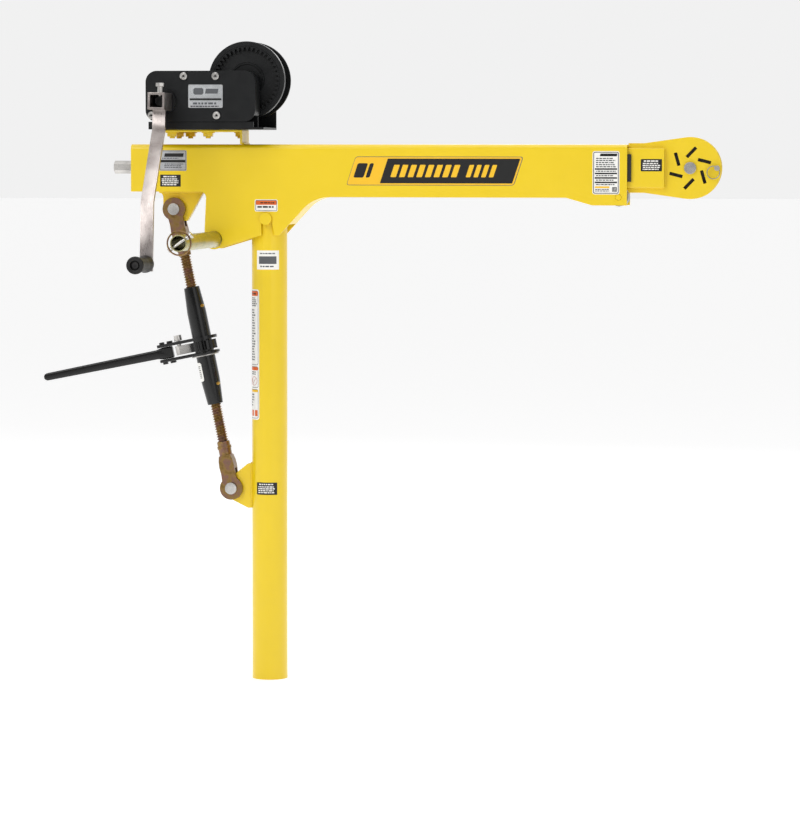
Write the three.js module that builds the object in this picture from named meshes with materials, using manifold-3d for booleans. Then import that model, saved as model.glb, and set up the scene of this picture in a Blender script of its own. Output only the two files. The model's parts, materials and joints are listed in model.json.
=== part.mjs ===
// A telescoping davit crane: a hinged boom on a round mast, a ratchet turnbuckle jack, a screw-driven
// inner boom with a rope sheave, and an enclosed-gear hand winch. Millimetres, +Z up, +X to the boom tip.
import * as THREE from "three";
import { mergeVertices } from "three/addons/utils/BufferGeometryUtils.js";
import Module from "manifold-3d";

const wasm = await Module();
wasm.setup();

// ---------- driving dimensions ----------
const fitGap = 0.3; // between two pieces that are fitted or welded together
const runGap = 0.4; // between two round pieces that turn on each other
const degrees = Math.PI / 180;

const mast = { radius: 34.925, wall: 5, top: 930, plug: 12 };
const pivot = { x: 0, z: mast.top - 18, radius: 9.5, headRadius: 12, headLength: 6.5 };
const tube = { height: 76.2, width: 62, wall: 4.8, start: -30, topGap: 2.5, exposed: 71.5 };
const shell = {
  wall: 4.5, sideGap: 1.6, corner: 10, top: pivot.z + 145.6, tailEnd: -270, noseEnd: 708.5,
  tailDepth: 93, beamDepth: tube.height + 26.8, noseDepth: tube.height + 41.4, noseFlat: 67.5, noseSlope: 51,
};
const knee = {
  left: -119.6, fillet: 12, handleX: -104, handleZ: pivot.z - 41, lip: 3.6, lowerRise: 17 * degrees,
  slotLeft: -9, slotRight: 17, faceRise: 47.7 * degrees, arc: 70, arcEnd: 126, plateStart: 46,
};
const bottomTabs = [[134, 280], [441, 590]];
const handle = { radius: 15.875, wall: 2, reach: 345, pinRadius: 4, pinSetback: 12 };
const nosePad = { length: 100, proud: 7.5, height: tube.height - 23.2 };
const roller = { radius: 18, width: 50, setback: 16.5, axle: 6 };
const screw = { hexFlats: 22.2, hexLength: 41, journal: 9.5, radius: 11, end: 620, nutLength: 28 };
const head = {
  centreX: shell.noseEnd + 120.5, radius: tube.height - 16.2, cheek: 6, cheekGap: 28,
  tangHeight: tube.height + 19.8, tangFlat: 30.5, pinRadius: 9.5,
  pinHead: 11.75, windowLength: 26, windowWidth: 6.5, windowCircle: 30.5, windows: 6,
  windowStart: 26 * degrees, windowTurn: -40 * degrees, retainerCircle: 52, retainerRadius: 4,
};
const sheave = { radius: 44, groove: 35, width: 24, floor: 7 };
const lugThickness = 16;
const upperPin = { x: -189, z: pivot.z + 18 };
const lowerPin = { x: -75, z: 378 };
const boomLug = { left: -212, right: -131, tipRight: -163, slack: 5, fillet: 12 };
const mastLug = { low: 339, high: 427, nose: 23, flat: 8 };
const clevis = {
  eye: 22.8, width: 34, slotDepth: 38, arm: 14, shoulder: 56, neck: 12.6, neckStart: 66, length: 94, pin: 9.5,
};
const jack = {
  screw: 11.1, lowerThread: 76, barrelLength: 236, barrel: 19, barrelEnd: 15.25, taper: 50, grip: 55,
};
const ratchet = {
  gearTip: jack.barrel + 8, gearRoot: jack.barrel + 4, gearTeeth: 12, gearHalf: 9, plateInner: 12, plate: 6,
  hub: jack.barrel + 11, yoke: jack.barrel + 72, barStart: jack.barrel + 43, barEnd: jack.barrel + 311,
  barThick: 18.5, barThin: 15, barDeep: 16, pawlPivot: jack.barrel + 29, washer: 2.2,
};
const winch = {
  left: -227, right: -10, top: shell.top + 142.4, stand: 24.2, plate: 4.2, front: 101, faceRadius: 22,
  skirt: 15, sheet: 4, coverWall: 2.5, baseRight: 6, crankX: -189, crankZ: shell.top + 82.4, drumX: -38,
  drumZ: shell.top + 125.4, shaft: 8,
};
const drum = { flange: 75.6, barrel: 32, halfWidth: 33, flangeWall: 4, cup: 10, axle: 9, hub: 20 };
const gears = {
  small: 14, large: 28, width: 10, ring: 42, ringPinion: 12, ringModule: 2.85, ringAngle: 233 * degrees,
};
const crank = {
  lean: 1.2 * degrees, square: 33, bore: 24, hubFront: 183, hubBack: 112, boss: 23, bossHeight: 8, arm: 25,
  armThick: 8, armTop: 146, armOut: 240, bendHigh: 55, bendLow: 195, radius: 312, grip: 17, gripLength: 100,
};

// ---------- derived values shared by several pieces ----------
const wallOuter = mast.radius + shell.sideGap + shell.wall;
const wallInner = wallOuter - shell.wall;
const betweenWalls = wallInner - fitGap;
const tubeAxisZ = shell.top - shell.wall - tube.topGap - tube.height / 2;
const tubeBottom = tubeAxisZ - tube.height / 2;
const tailBottom = shell.top - shell.tailDepth;
const beamBottom = shell.top - shell.beamDepth;
const noseBottom = shell.top - shell.noseDepth;
const kneeCorner = handle.radius + knee.lip;
const cheekOuter = head.cheekGap / 2 + head.cheek;
const bracketTop = shell.top + winch.stand + winch.plate;
const plateFront = drum.halfWidth + drum.cup + 6;
const jackLength = Math.hypot(upperPin.x - lowerPin.x, upperPin.z - lowerPin.z);
const jackLean = Math.atan2(lowerPin.x - upperPin.x, upperPin.z - lowerPin.z);
const barrelStart = clevis.length + jack.lowerThread;
const barrelMiddle = barrelStart + jack.barrelLength / 2;

// ---------- materials ----------
const finish = (color, roughness, metalness) =>
  new THREE.MeshStandardMaterial({ color, roughness, metalness });
const yellowPaint = finish(0xf0d41e, 0.35, 0.1);
const blackPaint = finish(0x141617, 0.45, 0.1);
const glossBlack = finish(0x0b0b0c, 0.25, 0.1);
const zinc = finish(0xb9b6b0, 0.35, 0.9);
const goldZinc = finish(0x8a744a, 0.4, 0.8);
const steel = finish(0x8f9094, 0.4, 0.9);
const castGear = finish(0x3a3a3c, 0.55, 0.6);
const bronze = finish(0x9a7434, 0.4, 0.8);
const nylon = finish(0x1a1a1a, 0.6, 0);
const rubber = finish(0x161616, 0.7, 0);

// ---------- solids ----------
function solidOf(geometry) {
  const bare = geometry.clone();
  bare.deleteAttribute("normal");
  bare.deleteAttribute("uv");
  const merged = mergeVertices(bare, 1e-4);
  const vertProperties = new Float32Array(merged.attributes.position.array);
  const triVerts = new Uint32Array(merged.index.array);
  return new wasm.Manifold(new wasm.Mesh({ numProp: 3, vertProperties, triVerts }));
}

function geometryOf(solid) {
  const { vertProperties, triVerts } = solid.getMesh();
  const geometry = new THREE.BufferGeometry();
  geometry.setAttribute("position", new THREE.BufferAttribute(vertProperties, 3));
  geometry.setIndex(new THREE.BufferAttribute(triVerts, 1));
  geometry.computeVertexNormals();
  return geometry;
}

const join = (...pieces) => geometryOf(pieces.map(solidOf).reduce((all, next) => all.add(next)));
const common = (a, b) => geometryOf(solidOf(a).intersect(solidOf(b)));
const cut = (base, ...tools) =>
  geometryOf(tools.map(solidOf).reduce((left, tool) => left.subtract(tool), solidOf(base)));

const block = (x0, x1, y0, y1, z0, z1) =>
  new THREE.BoxGeometry(x1 - x0, y1 - y0, z1 - z0).translate((x0 + x1) / 2, (y0 + y1) / 2, (z0 + z1) / 2);

// A cylinder along Y through (x, z).
const rodY = (radius, y0, y1, x, z, sides = 18) =>
  new THREE.CylinderGeometry(radius, radius, y1 - y0, sides).translate(x, (y0 + y1) / 2, z);

// A cylinder along Z through (x, y).
const rodZ = (radius, z0, z1, x = 0, y = 0, sides = 18) =>
  new THREE.CylinderGeometry(radius, radius, z1 - z0, sides)
    .rotateX(Math.PI / 2).translate(x, y, (z0 + z1) / 2);

// A cylinder along X through (y, z).
const rodX = (radius, x0, x1, y, z, sides = 18) =>
  new THREE.CylinderGeometry(radius, radius, x1 - x0, sides)
    .rotateZ(Math.PI / 2).translate((x0 + x1) / 2, y, z);

const extrude = (shape, depth, curveSegments = 8) =>
  new THREE.ExtrudeGeometry(shape, { depth, bevelEnabled: false, curveSegments });

// An outline drawn in X and Z, as thick as y0 to y1.
const plateXZ = (shape, y0, y1, curveSegments) =>
  extrude(shape, y1 - y0, curveSegments).rotateX(Math.PI / 2).translate(0, y1, 0);

// An outline drawn in Y and Z, drawn out from x0 to x1.
const barX = (shape, x0, x1, curveSegments) =>
  extrude(shape, x1 - x0, curveSegments)
    .applyMatrix4(new THREE.Matrix4().makeBasis(
      new THREE.Vector3(0, 1, 0), new THREE.Vector3(0, 0, 1), new THREE.Vector3(1, 0, 0)))
    .translate(x0, 0, 0);

const outline = (points) => new THREE.Shape(points.map(([x, y]) => new THREE.Vector2(x, y)));

// Outline of radii against height, turned about Y; points run upwards on the outside.
const turned = (points, segments = 24) =>
  new THREE.LatheGeometry(points.map(([r, y]) => new THREE.Vector2(r, y)), segments);

// A ring outline closed on itself, turned about Y from y0 to y1.
const ringY = (inner, outer, y0, y1, x, z, segments = 24) =>
  turned([[inner, y0], [outer, y0], [outer, y1], [inner, y1], [inner, y0]], segments).translate(x, 0, z);

// Teeth as trapezoids: the two fractions are shares of the tooth pitch at root and tip.
function toothedOutline(teeth, root, tip, rootShare, tipShare, firstTooth) {
  const pitch = (2 * Math.PI) / teeth;
  const points = [];
  for (let i = 0; i < teeth; i++) {
    const middle = firstTooth + i * pitch;
    const corners = [[root, -rootShare], [tip, -tipShare], [tip, tipShare], [root, rootShare]];
    for (const [radius, share] of corners) {
      const angle = middle + (share * pitch) / 2;
      points.push([radius * Math.cos(angle), radius * Math.sin(angle)]);
    }
  }
  return outline(points);
}

const toothed = { addendum: 0.65, dedendum: 0.95, rootShare: 0.52, tipShare: 0.2 };

function spurGear(teeth, module, firstTooth, y0, y1, x, z) {
  const pitchRadius = (teeth * module) / 2;
  const root = pitchRadius - toothed.dedendum * module;
  const tip = pitchRadius + toothed.addendum * module;
  const shape = toothedOutline(teeth, root, tip, toothed.rootShare, toothed.tipShare, firstTooth);
  return plateXZ(shape, y0, y1).translate(x, 0, z);
}

const crane = new THREE.Group();

function add(name, geometry, material, parent = crane) {
  const mesh = new THREE.Mesh(geometry, material);
  mesh.name = name;
  parent.add(mesh);
  return mesh;
}

// ---------- mast: the fixed post ----------
function buildMast() {
  const bore = mast.radius - mast.wall;
  const pinHole = pivot.radius + fitGap;
  const tubeOutside = rodZ(mast.radius, 0, mast.top, 0, 0, 32);
  add("mast_tube", cut(tubeOutside, rodZ(bore, -1, mast.top + 1, 0, 0, 32),
    rodY(pinHole, -mast.radius - 1, mast.radius + 1, pivot.x, pivot.z)), yellowPaint);
  add("mast_foot_plug", rodZ(bore - fitGap * 2, 0, mast.plug, 0, 0, 32), steel);

  const headStart = wallOuter + 0.6;
  const headEnd = headStart + pivot.headLength;
  const halfPin = [[0, -headEnd], [pivot.headRadius, -headEnd], [pivot.headRadius, -headStart]];
  const otherHalf = halfPin.map(([r, y]) => [r, -y]).reverse();
  const pin = [...halfPin, [pivot.radius, -headStart], [pivot.radius, headStart], ...otherHalf];
  add("pivot_pin", turned(pin, 16).translate(pivot.x, 0, pivot.z), yellowPaint);

  const lug = new THREE.Shape();
  lug.moveTo(0, mastLug.low);
  lug.lineTo(0, mastLug.high);
  lug.lineTo(-mast.radius - mastLug.flat, mastLug.high);
  lug.lineTo(lowerPin.x, lowerPin.z + mastLug.nose);
  lug.absarc(lowerPin.x, lowerPin.z, mastLug.nose, Math.PI / 2, Math.PI * 1.5, false);
  lug.lineTo(-mast.radius - mastLug.flat, mastLug.low);
  const plate = plateXZ(lug, -lugThickness / 2, lugThickness / 2, 12);
  add("mast_lug", cut(plate,
    rodZ(mast.radius + fitGap, mastLug.low - 1, mastLug.high + 1, 0, 0, 32),
    rodY(clevis.pin + fitGap, -lugThickness, lugThickness, lowerPin.x, lowerPin.z)), yellowPaint);
}

// ---------- boom: the folded channel and what is fixed in it ----------
function boomOutline() {
  const { handleX, handleZ, lowerRise, faceRise, arc, arcEnd } = knee;
  const lowAngle = 1.5 * Math.PI + lowerRise;
  const lowX = handleX + kneeCorner * Math.cos(lowAngle);
  const footZ = handleZ + kneeCorner * Math.sin(lowAngle) + (knee.slotLeft - lowX) * Math.tan(lowerRise);
  const slotRadius = pivot.radius + 0.5;
  const arcStartX = arcEnd - arc * Math.sin(faceRise);
  const arcStartZ = beamBottom - arc * (1 - Math.cos(faceRise));
  const footX = arcStartX - (arcStartZ - footZ) / Math.tan(faceRise);
  const slopeEnd = shell.noseEnd - shell.noseFlat;
  const shape = new THREE.Shape();
  shape.moveTo(shell.tailEnd, tailBottom);
  shape.lineTo(knee.left - knee.fillet, tailBottom);
  shape.absarc(knee.left - knee.fillet, tailBottom - knee.fillet, knee.fillet, Math.PI / 2, 0, true);
  shape.lineTo(handleX - kneeCorner, handleZ);
  shape.absarc(handleX, handleZ, kneeCorner, Math.PI, lowAngle, false);
  shape.lineTo(knee.slotLeft, footZ);
  shape.lineTo(pivot.x - slotRadius, pivot.z);
  shape.absarc(pivot.x, pivot.z, slotRadius, Math.PI, 0, true);
  shape.lineTo(knee.slotRight, footZ);
  shape.lineTo(footX, footZ);
  shape.lineTo(arcStartX, arcStartZ);
  shape.absarc(arcEnd, beamBottom - arc, arc, Math.PI / 2 + faceRise, Math.PI / 2, true);
  shape.lineTo(slopeEnd - shell.noseSlope, beamBottom);
  shape.lineTo(slopeEnd, noseBottom);
  shape.lineTo(shell.noseEnd, noseBottom);
  shape.lineTo(shell.noseEnd, shell.top);
  shape.lineTo(shell.tailEnd, shell.top);
  return { shape, arcStartX, arcStartZ };
}

function channelOutline(low) {
  const { corner, wall, top } = shell;
  const inside = corner - wall;
  const shape = new THREE.Shape();
  shape.moveTo(-wallOuter, low);
  shape.lineTo(-wallInner, low);
  shape.lineTo(-wallInner, top - corner);
  shape.absarc(-wallInner + inside, top - corner, inside, Math.PI, Math.PI / 2, true);
  shape.lineTo(wallInner - inside, top - wall);
  shape.absarc(wallInner - inside, top - corner, inside, Math.PI / 2, 0, true);
  shape.lineTo(wallInner, low);
  shape.lineTo(wallOuter, low);
  shape.lineTo(wallOuter, top - corner);
  shape.absarc(wallOuter - corner, top - corner, corner, 0, Math.PI / 2, false);
  shape.lineTo(-wallOuter + corner, top);
  shape.absarc(-wallOuter + corner, top - corner, corner, Math.PI / 2, Math.PI, false);
  return shape;
}

function buildBoom() {
  const { shape, arcStartX, arcStartZ } = boomOutline();
  const low = knee.handleZ - kneeCorner - 5;
  const folded = common(plateXZ(shape, -wallOuter - 1, wallOuter + 1, 7),
    barX(channelOutline(low), shell.tailEnd - 1, shell.noseEnd + 1, 4));
  const rollerX = shell.noseEnd - roller.setback;
  const rollerZ = tubeBottom - runGap - roller.radius;
  add("boom_shell", cut(folded,
    rodY(handle.radius + runGap, -wallOuter - 1, wallOuter + 1, knee.handleX, knee.handleZ, 24),
    rodY(roller.axle + fitGap, -wallOuter - 1, wallOuter + 1, rollerX, rollerZ, 16)), yellowPaint);

  const tabTop = beamBottom + shell.wall;
  bottomTabs.forEach(([x0, x1], i) => {
    add(`bottom_plate_${i + 1}`, block(x0, x1, -betweenWalls, betweenWalls, beamBottom, tabTop), yellowPaint);
  });

  const inset = shell.wall;
  const face = knee.faceRise;
  const startZ = arcStartZ - (arcStartX - knee.plateStart) * Math.tan(face);
  const closing = new THREE.Shape();
  closing.moveTo(knee.plateStart, startZ);
  closing.lineTo(arcStartX, arcStartZ);
  closing.absarc(knee.arcEnd, beamBottom - knee.arc, knee.arc, Math.PI / 2 + face, Math.PI / 2, true);
  closing.absarc(knee.arcEnd, beamBottom - knee.arc, knee.arc + inset, Math.PI / 2,
    Math.PI / 2 + face, false);
  closing.lineTo(knee.plateStart - inset * Math.sin(face), startZ + inset * Math.cos(face));
  add("knee_plate", plateXZ(closing, -betweenWalls, betweenWalls, 10), yellowPaint);

  const plateLow = tailBottom + fitGap;
  const plateHigh = plateLow + shell.wall;
  const tailInner = shell.tailEnd + shell.wall;
  add("tail_bottom_plate", block(tailInner + fitGap, knee.left - knee.fillet, -betweenWalls, betweenWalls,
    plateLow, plateHigh), yellowPaint);
  const endTop = shell.top - shell.wall - fitGap;
  const clipped = shell.corner - shell.wall;
  const endOutline = outline([[-betweenWalls, tailBottom + fitGap], [betweenWalls, tailBottom + fitGap],
    [betweenWalls, endTop - clipped], [betweenWalls - clipped, endTop], [clipped - betweenWalls, endTop],
    [-betweenWalls, endTop - clipped]]);
  add("tail_end_plate", cut(barX(endOutline, shell.tailEnd, tailInner),
    rodX(screw.journal + runGap, shell.tailEnd - 1, tailInner + 1, 0, tubeAxisZ)), yellowPaint);
  const bearing = turned([[screw.journal + runGap, 0], [20, 0], [20, 8], [screw.journal + runGap, 8],
    [screw.journal + runGap, 0]], 24).rotateZ(-Math.PI / 2);
  add("thrust_bearing", bearing.translate(tailInner + fitGap, 0, tubeAxisZ), steel);

  const { left, right, tipRight, fillet } = boomLug;
  const lugTop = tailBottom - fitGap;
  const lugTip = upperPin.x - left;
  const lug = new THREE.Shape();
  lug.moveTo(left - fillet, lugTop);
  lug.absarc(left - fillet, lugTop - fillet, fillet, Math.PI / 2, 0, true);
  lug.lineTo(left, upperPin.z);
  lug.absarc(upperPin.x, upperPin.z, lugTip, Math.PI, Math.PI * 1.5, false);
  lug.lineTo(tipRight, upperPin.z - lugTip);
  lug.lineTo(right, lugTop);
  add("boom_lug", cut(plateXZ(lug, -lugThickness / 2, lugThickness / 2, 8),
    rodY(clevis.pin + boomLug.slack, -lugThickness, lugThickness, upperPin.x, upperPin.z)), yellowPaint);

  for (const side of [-1, 1]) {
    const inner = tube.width / 2 + fitGap;
    const y0 = side < 0 ? -betweenWalls : inner;
    const y1 = side < 0 ? -inner : betweenWalls;
    const pad = block(shell.noseEnd - nosePad.length, shell.noseEnd + nosePad.proud, y0, y1,
      tubeAxisZ - nosePad.height / 2, tubeAxisZ + nosePad.height / 2);
    add(side < 0 ? "nose_pad_near" : "nose_pad_far", pad, nylon);
  }
  add("roller_axle", rodY(roller.axle, -wallOuter, wallOuter, rollerX, rollerZ, 16), zinc);
  add("nose_roller", ringY(roller.axle + runGap, roller.radius, -roller.width / 2, roller.width / 2,
    rollerX, rollerZ, 24), steel);
}

// ---------- handle tube through the knee, with its hitch pin ----------
function buildHandle() {
  const { handleX, handleZ } = knee;
  const nearEnd = -wallOuter - handle.reach;
  const pinY = nearEnd + handle.pinSetback;
  const pinHalf = handle.radius + 9;
  const pinTurn = 35 * degrees;
  const bar = (radius, half) =>
    rodX(radius, -half, half, 0, 0, 16).rotateY(-pinTurn).translate(handleX, pinY, handleZ);
  const bore = handle.radius - handle.wall;
  const tubeSolid = ringY(bore, handle.radius, nearEnd, wallOuter, handleX, handleZ, 24);
  add("handle_tube", cut(tubeSolid, bar(handle.pinRadius + runGap, pinHalf)), goldZinc);
  const pinHead = rodX(handle.pinRadius + 3, pinHalf, pinHalf + 4, 0, 0, 16).rotateY(-pinTurn)
    .translate(handleX, pinY, handleZ);
  add("hitch_pin", join(bar(handle.pinRadius, pinHalf + 1), pinHead), zinc);
}

// ---------- inner boom: square tube, drive nut, cheeks, sheave ----------
function cheekOutline() {
  const high = head.tangHeight / 2;
  const tangStart = shell.noseEnd + 1;
  const tangEnd = tangStart + head.tangFlat;
  const away = Math.hypot(head.centreX - tangEnd, high);
  const tangent = Math.PI - Math.atan2(high, head.centreX - tangEnd) - Math.acos(head.radius / away);
  const shape = new THREE.Shape();
  shape.moveTo(tangStart, tubeAxisZ - high);
  shape.lineTo(tangEnd, tubeAxisZ - high);
  shape.absarc(head.centreX, tubeAxisZ, head.radius, -tangent, tangent, false);
  shape.lineTo(tangEnd, tubeAxisZ + high);
  shape.lineTo(tangStart, tubeAxisZ + high);
  return shape;
}

function buildInnerBoom() {
  const end = shell.noseEnd + tube.exposed;
  const [halfWide, halfHigh] = [tube.width / 2, tube.height / 2];
  const hollowWide = halfWide - tube.wall;
  const hollowHigh = halfHigh - tube.wall;
  const slot = (y0, y1) => block(shell.noseEnd + 0.6, end + 1, y0 - fitGap, y1 + fitGap,
    tubeBottom - 1, tubeBottom + tube.height + 1);
  add("inner_tube", cut(
    block(tube.start, end, -halfWide, halfWide, tubeAxisZ - halfHigh, tubeAxisZ + halfHigh),
    block(tube.start - 1, end + 1, -hollowWide, hollowWide, tubeAxisZ - hollowHigh, tubeAxisZ + hollowHigh),
    slot(-cheekOuter, -head.cheekGap / 2), slot(head.cheekGap / 2, cheekOuter)), yellowPaint);
  add("drive_nut", cut(
    block(tube.start + 1, tube.start + 1 + screw.nutLength, -hollowWide + fitGap, hollowWide - fitGap,
      tubeAxisZ - hollowHigh + fitGap, tubeAxisZ + hollowHigh - fitGap),
    rodX(screw.radius + runGap, tube.start, tube.start + screw.nutLength + 2, 0, tubeAxisZ)), bronze);

  const retainer = head.retainerCircle + head.centreX;
  for (const side of [-1, 1]) {
    const y0 = side < 0 ? -cheekOuter : head.cheekGap / 2;
    const windows = [];
    for (let i = 0; i < head.windows; i++) {
      const angle = head.windowStart + (i * 2 * Math.PI) / head.windows;
      windows.push(block(-head.windowLength / 2, head.windowLength / 2, y0 - 1, y0 + head.cheek + 1,
        -head.windowWidth / 2, head.windowWidth / 2).rotateY(-angle - head.windowTurn)
        .translate(head.centreX + head.windowCircle * Math.cos(angle), 0,
          tubeAxisZ + head.windowCircle * Math.sin(angle)));
    }
    add(side < 0 ? "cheek_near" : "cheek_far", cut(plateXZ(cheekOutline(), y0, y0 + head.cheek, 20),
      ...windows, rodY(head.pinRadius + fitGap, y0 - 1, y0 + head.cheek + 1, head.centreX, tubeAxisZ),
      rodY(head.retainerRadius + runGap, y0 - 1, y0 + head.cheek + 1, retainer, tubeAxisZ, 16)), yellowPaint);
  }

  const headStart = cheekOuter + fitGap;
  const pinEnds = [[head.pinHead, headStart], [head.pinHead, headStart + 5], [0, headStart + 5]];
  const pinFront = pinEnds.map(([r, y]) => [r, -y]).reverse();
  const pin = [...pinFront, [head.pinRadius, -headStart], [head.pinRadius, headStart], ...pinEnds];
  add("sheave_pin", turned(pin, 16).translate(head.centreX, 0, tubeAxisZ), zinc);
  const half = sheave.width / 2;
  const bore = head.pinRadius + runGap;
  add("sheave", turned([[bore, -half], [sheave.radius, -half], [sheave.groove, -sheave.floor / 2],
    [sheave.groove, sheave.floor / 2], [sheave.radius, half], [bore, half], [bore, -half]], 28)
    .translate(head.centreX, 0, tubeAxisZ), castGear);
  const r = head.retainerRadius;
  const retainerHead = r + 1.2;
  const retainerEnd = -cheekOuter - 12;
  const retainerProfile = [[0, retainerEnd], [retainerHead, retainerEnd], [retainerHead, -cheekOuter - fitGap],
    [r, -cheekOuter - fitGap], [r, cheekOuter + 8], [0, cheekOuter + 8]];
  add("retainer_pin", turned(retainerProfile, 12).translate(retainer, 0, tubeAxisZ), zinc);
}

function buildDriveScrew() {
  const hexRadius = screw.hexFlats / Math.sqrt(3);
  const shoulder = shell.tailEnd + shell.wall + fitGap + 8 + runGap;
  const hex = rodX(hexRadius, shell.tailEnd - screw.hexLength, shell.tailEnd - runGap, 0, tubeAxisZ, 6);
  const journal = rodX(screw.journal, shell.tailEnd - 1, shoulder + 1, 0, tubeAxisZ);
  add("drive_screw", join(hex, journal, rodX(screw.radius, shoulder, screw.end, 0, tubeAxisZ)), zinc);
}

// ---------- ratchet turnbuckle jack: built upright from the lower pin, then leaned ----------
function clevisSolid() {
  const { eye, width, arm, shoulder, neck, neckStart, slotDepth, length } = clevis;
  const side = [[arm + 2, 0], [arm, eye + 8], [arm + 1, shoulder - 12], [arm, shoulder], [neck - 1, neckStart]];
  const arms = outline([...side.map(([x, z]) => [-x, z]).reverse(), ...side]);
  const body = join(rodY(eye, -width / 2, width / 2, 0, 0, 32), plateXZ(arms, -width / 2, width / 2),
    rodZ(neck, shoulder - 6, length, 0, 0, 24));
  const slotHalf = lugThickness / 2 + 1;
  return cut(body, block(-eye - 1, eye + 1, -slotHalf, slotHalf, -eye - 1, slotDepth),
    rodY(clevis.pin + fitGap, -width, width, 0, 0));
}

function clevisPin() {
  const side = clevis.width / 2 + fitGap;
  const ends = [[head.pinHead, side], [head.pinHead, side + 4.5], [0, side + 4.5]];
  const front = ends.map(([r, y]) => [r, -y]).reverse();
  return turned([...front, [clevis.pin, -side], [clevis.pin, side], ...ends], 16);
}

function buildJack() {
  const frame = new THREE.Group();
  frame.position.set(lowerPin.x, 0, lowerPin.z);
  frame.rotation.y = -jackLean;
  crane.add(frame);

  add("lower_clevis", clevisSolid(), goldZinc, frame);
  add("lower_clevis_pin", clevisPin(), zinc, frame);
  add("lower_screw", rodZ(jack.screw, clevis.length + fitGap, barrelStart + jack.grip), goldZinc, frame);
  const top = new THREE.Group();
  top.position.z = jackLength;
  top.rotation.x = Math.PI;
  frame.add(top);
  add("upper_clevis", clevisSolid(), goldZinc, top);
  add("upper_clevis_pin", clevisPin(), zinc, top);
  const barrelEnd = barrelStart + jack.barrelLength;
  const upperStart = barrelEnd - jack.grip;
  add("upper_screw", rodZ(jack.screw, upperStart, jackLength - clevis.length - fitGap), goldZinc, frame);

  const middle = new THREE.Group();
  middle.position.z = barrelMiddle;
  frame.add(middle);
  const half = jack.barrelLength / 2;
  const bore = jack.screw + runGap;
  const barrel = turned([[bore, -half], [jack.barrelEnd, -half], [jack.barrel, -half + jack.taper],
    [jack.barrel, half - jack.taper], [jack.barrelEnd, half], [bore, half], [bore, -half]], 32);
  add("jack_barrel", barrel.rotateX(Math.PI / 2), glossBlack, middle);
  const seat = jack.barrel + fitGap + 0.2;
  const wheel = toothedOutline(ratchet.gearTeeth, ratchet.gearRoot, ratchet.gearTip, 0.8, 0.35, 0);
  add("ratchet_gear", cut(extrude(wheel, ratchet.gearHalf * 2).translate(0, 0, -ratchet.gearHalf),
    rodZ(seat, -ratchet.gearHalf - 1, ratchet.gearHalf + 1, 0, 0, 32)), blackPaint, middle);

  const { plateInner, plate, hub, yoke, barStart, barEnd, barThick, barThin, barDeep } = ratchet;
  const shoulder = hub * 0.92;
  const arm = outline([[0, -shoulder], [0, shoulder], [-yoke + 12, 13], [-yoke, 9], [-yoke, -9],
    [-yoke + 12, -13]]);
  const knobRadius = 4;
  for (const side of [-1, 1]) {
    const z0 = side < 0 ? -plateInner - plate : plateInner;
    const holes = [rodZ(jack.barrel + runGap + 0.4, z0 - 1, z0 + plate + 1, 0, 0, 32)];
    if (side > 0) holes.push(rodZ(knobRadius + runGap, z0 - 1, z0 + plate + 1, -ratchet.pawlPivot, 0, 16));
    add(side < 0 ? "yoke_plate_lower" : "yoke_plate_upper", cut(join(rodZ(hub, z0, z0 + plate, 0, 0, 32),
      extrude(arm, plate).translate(0, 0, z0)), ...holes), glossBlack, middle);
  }
  const rootHalf = plateInner - fitGap;
  const bar = outline([[-barStart, -rootHalf], [-barStart, rootHalf], [-yoke + 8, rootHalf],
    [-yoke - 4, barThick / 2], [-barEnd + 5, barThin / 2], [-barEnd, barThin / 2 - 4],
    [-barEnd, -barThin / 2 + 4], [-barEnd + 5, -barThin / 2], [-yoke - 4, -barThick / 2],
    [-yoke + 8, -rootHalf]]);
  add("ratchet_bar", plateXZ(bar, -barDeep / 2, barDeep / 2), glossBlack, middle);
  const nose = ratchet.gearTip + 0.6;
  const heel = ratchet.pawlPivot + 8;
  const pawlOutline = outline([[-nose, -3], [-nose, 3], [-ratchet.pawlPivot, 8], [-heel, 4], [-heel, -4],
    [-ratchet.pawlPivot, -8]]);
  const pawl = extrude(pawlOutline, ratchet.gearHalf * 2).translate(0, 0, -ratchet.gearHalf);
  const knobTop = plateInner + plate + 12;
  add("ratchet_pawl", join(pawl, rodZ(knobRadius, 0, knobTop, -ratchet.pawlPivot, 0, 16),
    rodZ(knobRadius + 4, plateInner + plate + 1, knobTop, -ratchet.pawlPivot, 0, 16)), zinc, middle);
  const washerTop = -plateInner - plate - runGap;
  const washerLow = washerTop - ratchet.washer;
  const washerBore = jack.barrel + runGap + 0.4;
  const washerEdge = jack.barrel + 8;
  const washer = turned([[washerBore, washerLow], [washerEdge, washerLow], [washerEdge, washerTop],
    [washerBore, washerTop], [washerBore, washerLow]], 32);
  add("thrust_washer", washer.rotateX(Math.PI / 2), zinc, middle);
}

// ---------- winch: bracket, frame, gears, drum ----------
function roundedRectangle(x0, x1, z0, z1, radius) {
  const shape = new THREE.Shape();
  shape.moveTo(x0 + radius, z0);
  shape.lineTo(x1 - radius, z0);
  shape.absarc(x1 - radius, z0 + radius, radius, -Math.PI / 2, 0, false);
  shape.lineTo(x1, z1 - radius);
  shape.absarc(x1 - radius, z1 - radius, radius, 0, Math.PI / 2, false);
  shape.lineTo(x0 + radius, z1);
  shape.absarc(x0 + radius, z1 - radius, radius, Math.PI / 2, Math.PI, false);
  shape.lineTo(x0, z0 + radius);
  shape.absarc(x0 + radius, z0 + radius, radius, Math.PI, Math.PI * 1.5, false);
  return shape;
}

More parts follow.
